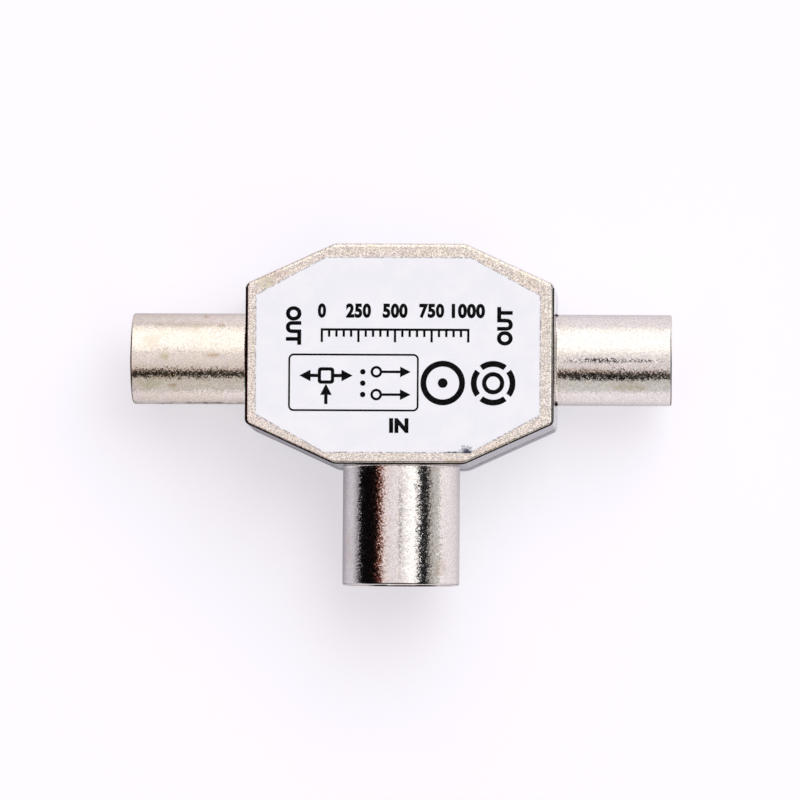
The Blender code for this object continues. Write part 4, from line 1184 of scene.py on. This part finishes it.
def housing_nickel(groups):
    """Nickel plating on the casting: sparkling facets, warm drift, tarnish, painted shade and light on the
    walls, and burnished edges with painted dark reflections along them.
    """
    material, nodes, shader = new_material("housing_nickel", {"Metallic": 1.0})
    (east, north, _), (facing_east, _, facing_up) = nodes.place, nodes.facing
    stretch = nodes.stretch
    body = body_mask(nodes)
    walls = nodes.times(body, stretch(nodes.size(facing_up), *WALLS_UP, 1.0, 0.0))
    grain = nodes.use(groups["grain"], **NICKEL_GRAIN)
    tilt = stretch(edge_mask(nodes), 0.0, 1.0, FACET_TILT, FACET_TILT / 4)
    facets = nodes.use(groups["facet"], facet_size=FACET_SIZE, tilt=tilt, normal=grain["Normal"])
    spark, hue = facets["Spark"], facets["Hue"]
    rosy = nodes.use(groups["drift"], **ROSY_PATCHES)["Mask"]
    cool = nodes.most(stretch(east, *COOL_EAST), stretch(north, *COOL_SOUTH))
    tone = drift(nodes, groups, NICKEL_TONES, *NICKEL_PATCHES)
    for share, layer in (
        (stretch(rosy, 0.5, 1.0, 0.0, ROSY_SHARE), ROSY_TONE), (nodes.times(cool, COOL_SHARE), COOL_TONE),
        (stretch(hue, *GOLD_FACETS, 0.0, GOLD_SHARE), GOLD_FACET_TONE),
        (stretch(hue, *GREY_FACETS, 0.0, GREY_SHARE), GREY_FACET_TONE),
    ):
        tone = nodes.mix(share, tone, layer)
    darkest, lightest = (stretch(body, 0.0, 1.0, *pair) for pair in (DARKEST_FACET, LIGHTEST_FACET))
    tone = nodes.vector("MULTIPLY", tone, stretch(spark, 0.0, 1.0, darkest, lightest))
    dots, reflection_dots = stretch(spark, *TARNISH_DOTS), stretch(spark, *DARK_REFLECTION_DOTS)
    # Tarnish and olive stains, and painted dark reflections along the sleeves' tops
    for places, share, layer in (
        (TARNISH_SPOTS, dots, TARNISH_TONE), (OLIVE_SPOTS, dots, OLIVE_TONE),
        (DARK_REFLECTION_STREAKS, reflection_dots, DARK_REFLECTION_TONE),
    ):
        tone = nodes.mix(nodes.times(spots(nodes, groups, places), share), tone, layer)
    # Painted shade and light on the walls: darker facing west, lighter facing east
    tone = nodes.mix(walls, tone, nodes.mix(stretch(facing_east, *WALLS_TURN_EAST), *SHADED_AND_LIT_WALL_TONES))
    # Painted shade on the west flank of the input's shell
    on_shell = nodes.math("LESS_THAN", north, -IN_WALL - IN_ROOT_FILLET)
    west_shell_shade = nodes.times(on_shell, stretch(facing_east, *SHELL_WEST))
    tone = nodes.mix(west_shell_shade, tone, SHELL_SHADE, "MULTIPLY")
    # Painted shade in the seam's groove, and dirt specks round it
    seam_shade_and_dirt = nodes.times(body, seam_shade_and_grime(nodes))
    # Painted dark reflections along the front edge and rims, and painted shade at the outputs' roots
    lines = nodes.most(front_edge_dark_reflection(nodes), rim_shade_lines(nodes))
    tone = nodes.mix(lines, nodes.mix(seam_shade_and_dirt, tone, SEAM_SHADE_AND_DIRT_TONE), LINE_SHADE_TONE)
    dull = nodes.times(walls, stretch(facing_east, *EAST_WALLS[::-1]))
    roughness = stretch(grain["Height"], *GRAIN_HEIGHTS, *NICKEL_ROUGHNESS)
    roughness = nodes.math("MULTIPLY_ADD", dull, DULL_WALL_ROUGHNESS, roughness)
    nodes.feed(shader, {
        "Base Color": tone, "Roughness": roughness, "Normal": facets["Normal"],
        "Specular Tint": grazing_tint(nodes, walls, west_shell_shade, nodes.most(lines, seam_shade_and_dirt))})
    return material


def body_mask(nodes):
    """1 on the body, 0 on the three sleeves."""
    between = nodes.math("LESS_THAN", nodes.size(nodes.place[0]), OUT_WALL + OUT_ROOT_FILLET)
    return nodes.times(between, nodes.math("GREATER_THAN", nodes.place[1], -IN_WALL - IN_ROOT_FILLET))


def grazing_tint(nodes, walls, west_shell_shade, dark):
    """Colour of the plating at a grazing look, with painted shade and light: duller low on the walls, on the
    west walls and west of the input's shell, white on the east walls, and near black under the painted dark
    lines and the seam's marks.
    """
    facing_east = nodes.facing[0]
    low = nodes.times(walls, nodes.stretch(nodes.place[2], SEAM_HEIGHT + SEAM_SOFT, SEAM_HEIGHT - SEAM_SOFT))
    lit_east_walls = nodes.times(walls, nodes.stretch(facing_east, *EAST_WALLS))
    west = nodes.times(walls, nodes.stretch(facing_east, *WEST_WALLS))
    tint = nodes.mix(nodes.most(low, west, west_shell_shade), EDGE_TINT, SHADED_EDGE_TINT)
    return nodes.mix(dark, nodes.mix(lit_east_walls, tint, LIT_EDGE_TINT), LINE_SHADE_TONE)


def on_out_rims(nodes):
    """1 on the outputs' rounded rims."""
    return nodes.math("GREATER_THAN", nodes.size(nodes.place[0]), OUT_REACH - OUT_RIM_ROUND)


def on_in_rim(nodes):
    """1 on the input's rounded rim."""
    return nodes.math("LESS_THAN", nodes.place[1], IN_RIM_ROUND - IN_REACH)


def on_front_edge(nodes):
    """1 as high up as the front edge's fillet."""
    return nodes.math("GREATER_THAN", nodes.place[2], BODY_DEPTH - FRONT_EDGE_FILLET)


def edge_mask(nodes):
    """1 on the burnished edges: the front edge and the rims of the sleeves."""
    front = nodes.times(on_front_edge(nodes), nodes.math("LESS_THAN", nodes.facing[2], FRONT_FACE_UP))
    return nodes.most(front, on_out_rims(nodes), on_in_rim(nodes))


def front_edge_dark_reflection(nodes):
    """Thin painted dark reflection along the front edge, on every side but the north."""
    _, facing_north, facing_up = nodes.facing
    return nodes.times(
        on_front_edge(nodes), *(nodes.stretch(facing_up, *ends) for ends in FRONT_LINE_UP),
        nodes.stretch(facing_north, *FRONT_LINE_NOT_NORTH),
        nodes.stretch(nodes.noise(0.4, 2.0, 0.6), 0.25, 0.36, 0.7, 1.0))


def rim_shade_lines(nodes):
    """Thin painted dark reflections on the sleeves' rounded rims and along the left plug's lower edge, and
    painted shade where the outputs' sleeves meet the wall.
    """
    (east, north, height), (facing_east, facing_north, facing_up) = nodes.place, nodes.facing
    stretch, beside, along = nodes.stretch, nodes.size(east), nodes.size(facing_east)
    # Painted dark reflections on the outputs' rims and round the input's mouth
    ends = nodes.times(
        on_out_rims(nodes), *(stretch(along, *ends) for ends in OUT_RIM_LINE_OUT),
        stretch(north, *OUT_RIM_LINE_ENDS))
    mouth = nodes.times(
        on_in_rim(nodes), *(stretch(facing_north, *ends) for ends in IN_RIM_LINE_NORTH),
        stretch(beside, *IN_RIM_LINE_ENDS, 0.25, 1.0))
    off_axis = nodes.add("CombineXYZ", {1: north, 2: nodes.math("SUBTRACT", height, AXIS_HEIGHT)}).outputs[0]
    reach = nodes.vector("LENGTH", off_axis)
    root = nodes.size(nodes.math("SUBTRACT", reach, OUT_SLEEVE_DIAMETER / 2 + SEAT_LINE_OFF))
    # Painted shade where the outputs' sleeves meet the wall, at their north and south sides
    seat = nodes.times(
        stretch(root, *SEAT_LINE_WIDTH), stretch(nodes.size(north), *SEAT_LINE_SIDES),
        stretch(beside, *(OUT_WALL + off for off in SEAT_LINE_OUT)))
    # Painted dark reflection of the shadowed floor along the left output's lower edge
    low = nodes.times(
        nodes.math("LESS_THAN", east, -OUT_WALL - LOW_LINE_START), stretch(facing_north, *LOW_LINE_NORTH),
        stretch(facing_up, *LOW_LINE_UP), stretch(nodes.noise(0.6, 3.0, 0.6), 0.36, 0.50),
        stretch(nodes.noise(1.6, 3.0, 0.7), 0.44, 0.60), 0.6)
    return nodes.times(nodes.most(ends, mouth, seat, low), RIM_SHADE_STRENGTH)


def seam_shade_and_grime(nodes):
    """Painted shade and dirt along the die's parting seam: a broken line of painted shade in the groove, and
    dirt specks that thin out from it.
    """
    height, stretch = nodes.place[2], nodes.stretch
    off = nodes.size(nodes.math("SUBTRACT", height, SEAM_HEIGHT))
    # Painted shade in the groove, broken by noise
    groove = nodes.times(
        stretch(off, SEAM_WIDTH, SEAM_WIDTH / 2), stretch(nodes.noise(1.5, 4.0, 0.7), 0.38, 0.56))
    grains = nodes.noise(0.32, 2.0, 0.6, nodes.vector("MULTIPLY", nodes.millimetres, (1, 1, 0.6)))
    near = nodes.times(
        stretch(height, SEAM_HEIGHT - GRIME_BELOW, SEAM_HEIGHT - 0.3),
        stretch(height, SEAM_HEIGHT + GRIME_ABOVE, SEAM_HEIGHT))
    specks = stretch(nodes.math("MULTIPLY_ADD", near, 0.13, grains), 0.60, 0.64)
    return nodes.most(groove, nodes.times(specks, near, 0.6))


def label_edge(nodes):
    """1 in a thin band along the label's cut edge, fading inwards."""
    centre = (LABEL_SHIFT[0], BODY_CENTRE_Y + LABEL_SHIFT[1], 0)
    half_x = BODY_WIDTH / 2 - LABEL_MARGIN_X
    half_y = BODY_HEIGHT / 2 - LABEL_MARGIN_Y
    cut = Vector((CORNER_CUT_Y - LABEL_CUT_LESS_Y, CORNER_CUT_X - LABEL_CUT_LESS_X)).normalized()
    reach = cut.x * half_x + cut.y * (half_y - CORNER_CUT_Y + LABEL_CUT_LESS_Y)
    place = nodes.vector("ABSOLUTE", nodes.vector("SUBTRACT", nodes.millimetres, centre))
    slant = nodes.vector("DOT_PRODUCT", place, (cut.x, cut.y, 0))
    beside, beyond, _ = nodes.split(place)
    sides = ((beside, half_x), (beyond, half_y), (slant, reach))
    outside = nodes.most(*(nodes.math("SUBTRACT", value, limit) for value, limit in sides))
    return nodes.stretch(outside, -LABEL_EDGE_INSET - LABEL_EDGE_WIDTH, -LABEL_EDGE_INSET)


def solid_skin(groups, name, add_marks=None):
    """A solid skin of the table above: two tones in patches, grain and a slow unevenness."""
    tones, patches, grain, values = SOLID_SKINS[name]
    material, nodes, shader = new_material(name, values)
    names = ("grain_size", "grain_depth", "wave_size", "wave_depth")
    tone = drift(nodes, groups, tones, *patches)
    if add_marks:
        tone = add_marks(nodes, groups, tone)
    normal = nodes.use(groups["grain"], **dict(zip(names, grain)))["Normal"]
    nodes.feed(shader, {"Base Color": tone, "Normal": normal})
    return material


def label_marks(nodes, groups, tone):
    """The label's darker band along its cut edge, and its smudges."""
    edge = nodes.times(label_edge(nodes), nodes.stretch(nodes.noise(0.35, 3.0, 0.7), 0.40, 0.58))
    tone = nodes.mix(edge, tone, LABEL_EDGE_TONE)
    return nodes.mix(spots(nodes, groups, LABEL_SMUDGES), tone, LABEL_SMUDGE_TONE)


def resistor_rings(nodes, groups, tone):
    """The resistor's printed rings of colour, their edges a little worn."""
    along = nodes.math("SUBTRACT", nodes.place[0], BAND_WOBBLE / 2)
    place = nodes.math("MULTIPLY_ADD", nodes.noise(0.3, 3.0, 0.6), BAND_WOBBLE, along)
    for middle, colour in BAND_TONES:
        off = nodes.size(nodes.math("SUBTRACT", place, middle))
        band = nodes.stretch(off, BAND_WIDTH / 2 - BAND_BLUR, BAND_WIDTH / 2 + BAND_BLUR, 1.0, 0.0)
        tone = nodes.mix(band, tone, colour)
    return tone


def drawn_metal(groups, name, tones, across, line_size, depth, roughness):
    """A turned, drawn or rolled metal: fine lines over a slow change of tone."""
    material, nodes, shader = new_material(name, {"Metallic": 1.0})
    lines = nodes.use(groups["drawn"], across=across, line_size=line_size, depth=depth)
    dull = nodes.use(groups["drift"], patch_size=0.5, contrast=0.15)["Mask"]
    rough = nodes.math("MULTIPLY_ADD", dull, 0.12, nodes.stretch(lines["Height"], *GRAIN_HEIGHTS, *roughness))
    nodes.feed(shader, {
        "Base Color": drift(nodes, groups, tones, 1.2, 0.2), "Roughness": rough, "Normal": lines["Normal"]})
    return material


def board_laminate(groups):
    """Paper laminate: brown, with long fibres and small flecks."""
    material, nodes, shader = new_material("board_laminate", {"Roughness": 0.45})
    fibres = nodes.use(groups["drawn"], across=(0.12, 1, 1), line_size=0.22, depth=0.006)
    flecks = nodes.stretch(fibres["Height"], 0.55, 0.72)
    tone = nodes.mix(flecks, drift(nodes, groups, BOARD_TONES, 1.4, 0.2), BOARD_FIBRE_TONE)
    nodes.feed(shader, {"Base Color": tone, "Normal": fibres["Normal"]})
    return material


def make_finishes():
    """Every finish of the part by its material slot, and the ink."""
    groups = {
        "grain": make_grain_group(), "drift": make_drift_group(), "facet": make_facet_group(),
        "stain": make_stain_group(), "drawn": make_drawn_group(),
    }
    marks = {"label_film": label_marks, "resistor_lacquer": resistor_rings}
    finishes = {"nickel_casting": housing_nickel(groups), "board_laminate": board_laminate(groups)}
    for name, values in DRAWN_METALS.items():
        finishes[name] = drawn_metal(groups, name, *values)
    for name in SOLID_SKINS:
        finishes[name] = solid_skin(groups, name, marks.get(name))
    return finishes


# Studio

def light_by_angle(nodes, across, up, stops):
    """Light level by the angle from overhead in one upright plane."""
    factor = nodes.math("MULTIPLY_ADD", nodes.math("ARCTAN2", across, up), 1 / math.tau, 0.5)
    made = nodes.add("ValToRGB", {0: factor})
    elements = made.color_ramp.elements
    while len(elements) < len(stops):
        elements.new(1.0)
    for element, (degrees, colour) in zip(elements, stops):
        element.position = (degrees + 180) / 360
        element.color = (*colour, 1.0)
    return made.outputs[0]


def make_world():
    """Soft boxes, gaps and dark walls of the studio; the camera itself sees plain white."""
    world = bpy.data.worlds.new("studio")
    world.use_nodes = True
    nodes = Nodes(world.node_tree)
    nodes.tree.nodes.clear()
    east, north, up = nodes.split(nodes.coordinates["Generated"])
    north_south = light_by_angle(nodes, north, up, NORTH_SOUTH_LIGHT)
    west_east = light_by_angle(nodes, east, up, WEST_EAST_LIGHT)
    north_square = nodes.times(north, north)
    both = nodes.math("ADD", nodes.math("ADD", nodes.times(east, east), north_square), NOT_ZERO)
    share = nodes.stretch(nodes.math("DIVIDE", north_square, both), *BANDS_MEET)
    colour = nodes.mix(share, west_east, north_south)
    room, white = (
        nodes.add("Background", {"Color": tone, "Strength": strength}).outputs[0]
        for tone, strength in ((colour, PEAK_LIGHT), ((1, 1, 1), 1.0)))
    seen = nodes.add("LightPath").outputs["Is Camera Ray"]
    mixed = nodes.add("MixShader", {0: seen, 1: room, 2: white}).outputs[0]
    nodes.add("OutputWorld", {"Surface": mixed})
    bpy.context.scene.world = world


def make_floor():
    """Pale table that keeps the part's soft shadow, and that is clear from below."""
    bm = bmesh.new()
    bmesh.ops.create_grid(bm, x_segments=1, y_segments=1, size=FLOOR_REACH)
    bmesh.ops.translate(bm, vec=(0, 0, -FLOOR_DROP), verts=bm.verts)
    floor = finish_mesh("studio_table", bm)
    material, nodes, shader = new_material("table_white", {
        "Roughness": 0.9, "Base Color": FLOOR_TONE, "Specular IOR Level": 0.0, "Emission Color": FLOOR_GLOW})
    paths = nodes.add("LightPath").outputs
    # Painted shade: the glow seen in reflections fades out to the west
    west_shade_fade = nodes.stretch(nodes.place[0], WEST_SHADE_FAR, WEST_SHADE_NEAR)
    seen = nodes.math("MULTIPLY_ADD", paths["Is Glossy Ray"], west_shade_fade, paths["Is Camera Ray"])
    seen = nodes.math("ADD", seen, paths["Is Transmission Ray"], clamp=True)
    nodes.feed(shader, {"Emission Strength": nodes.times(seen, FLOOR_LIFT)})
    below = nodes.add("NewGeometry").outputs["Backfacing"]
    clear = nodes.add("BsdfTransparent").outputs[0]
    mixed = nodes.add("MixShader", {0: below, 1: shader.outputs[0], 2: clear}).outputs[0]
    nodes.feed(nodes.tree.nodes["Material Output"], {0: mixed})
    floor.data.materials.append(material)


def make_key_light():
    """Broad soft light from the north-east that the metal doesn't mirror."""
    data = bpy.data.lights.new("key_light", "SUN")
    data.energy = KEY_STRENGTH
    data.angle = math.radians(KEY_SOFTNESS)
    key = place_in_scene("key_light", data)
    key.rotation_euler = (math.radians(KEY_FROM_OVERHEAD), 0, math.radians(180 - KEY_AZIMUTH))
    key.visible_glossy = False


def make_camera():
    """The photograph's view: from above, tilted a little east and south."""
    east, south = (math.tan(math.radians(tilt)) for tilt in (CAMERA_TILT_EAST, CAMERA_TILT_SOUTH))
    away = Vector((east, -south, 1.0)).normalized()
    right = (-away).cross(Vector((0, 1, 0))).normalized()
    up = right.cross(-away)
    roll = Matrix.Rotation(math.radians(CAMERA_ROLL), 3, away)
    axes = Matrix((roll @ right, roll @ up, away)).transposed().to_4x4()
    data = bpy.data.cameras.new("photo_camera")
    data.lens = CAMERA_LENS
    data.sensor_width = CAMERA_SENSOR
    data.clip_start, data.clip_end = CAMERA_CLIP
    camera = place_in_scene("photo_camera", data)
    place = (Vector(CAMERA_TARGET) + away * CAMERA_DISTANCE) * MM
    camera.matrix_world = Matrix.Translation(place) @ axes
    bpy.context.scene.camera = camera


def set_finish(obj, material):
    """Gives an object its one material."""
    obj.data.materials.clear()
    obj.data.materials.append(material)


def main():
    """Builds the studio, the part's pieces and their finishes."""
    bpy.context.scene.view_settings.view_transform = "Standard"
    make_camera()
    make_world()
    make_floor()
    make_key_light()
    finishes = make_finishes()
    pieces = [
        (make_housing(), "housing"), (make_label(), "label"), (make_input_insulator(), "in_insulator"),
        (make_socket_contact(), "in_socket_contact"), (make_earth_sleeve(), "in_earth_sleeve"),
    ]
    for port in ("out_left", "out_right"):
        pieces += [(make_output_insulator(port), port + "_insulator"), (make_output_pin(port), port + "_pin")]
    slots = {part["node"]: part["material_slot"] for part in frame["record"]["subparts"]}
    for name, node in frame["nodes"].items():
        set_finish(node, finishes["cover_steel" if name == "back_cover" else slots[name]])
    for piece, node in pieces:
        set_finish(piece, finishes[slots[node]])
        piece.data.shade_smooth()
        piece.data.set_sharp_from_angle(angle=SMOOTH_ANGLE)
        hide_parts(node)
        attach(piece, BODY)
    for mark in make_print():
        set_finish(mark, finishes["screen_ink"])
        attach(mark, BODY)


main()
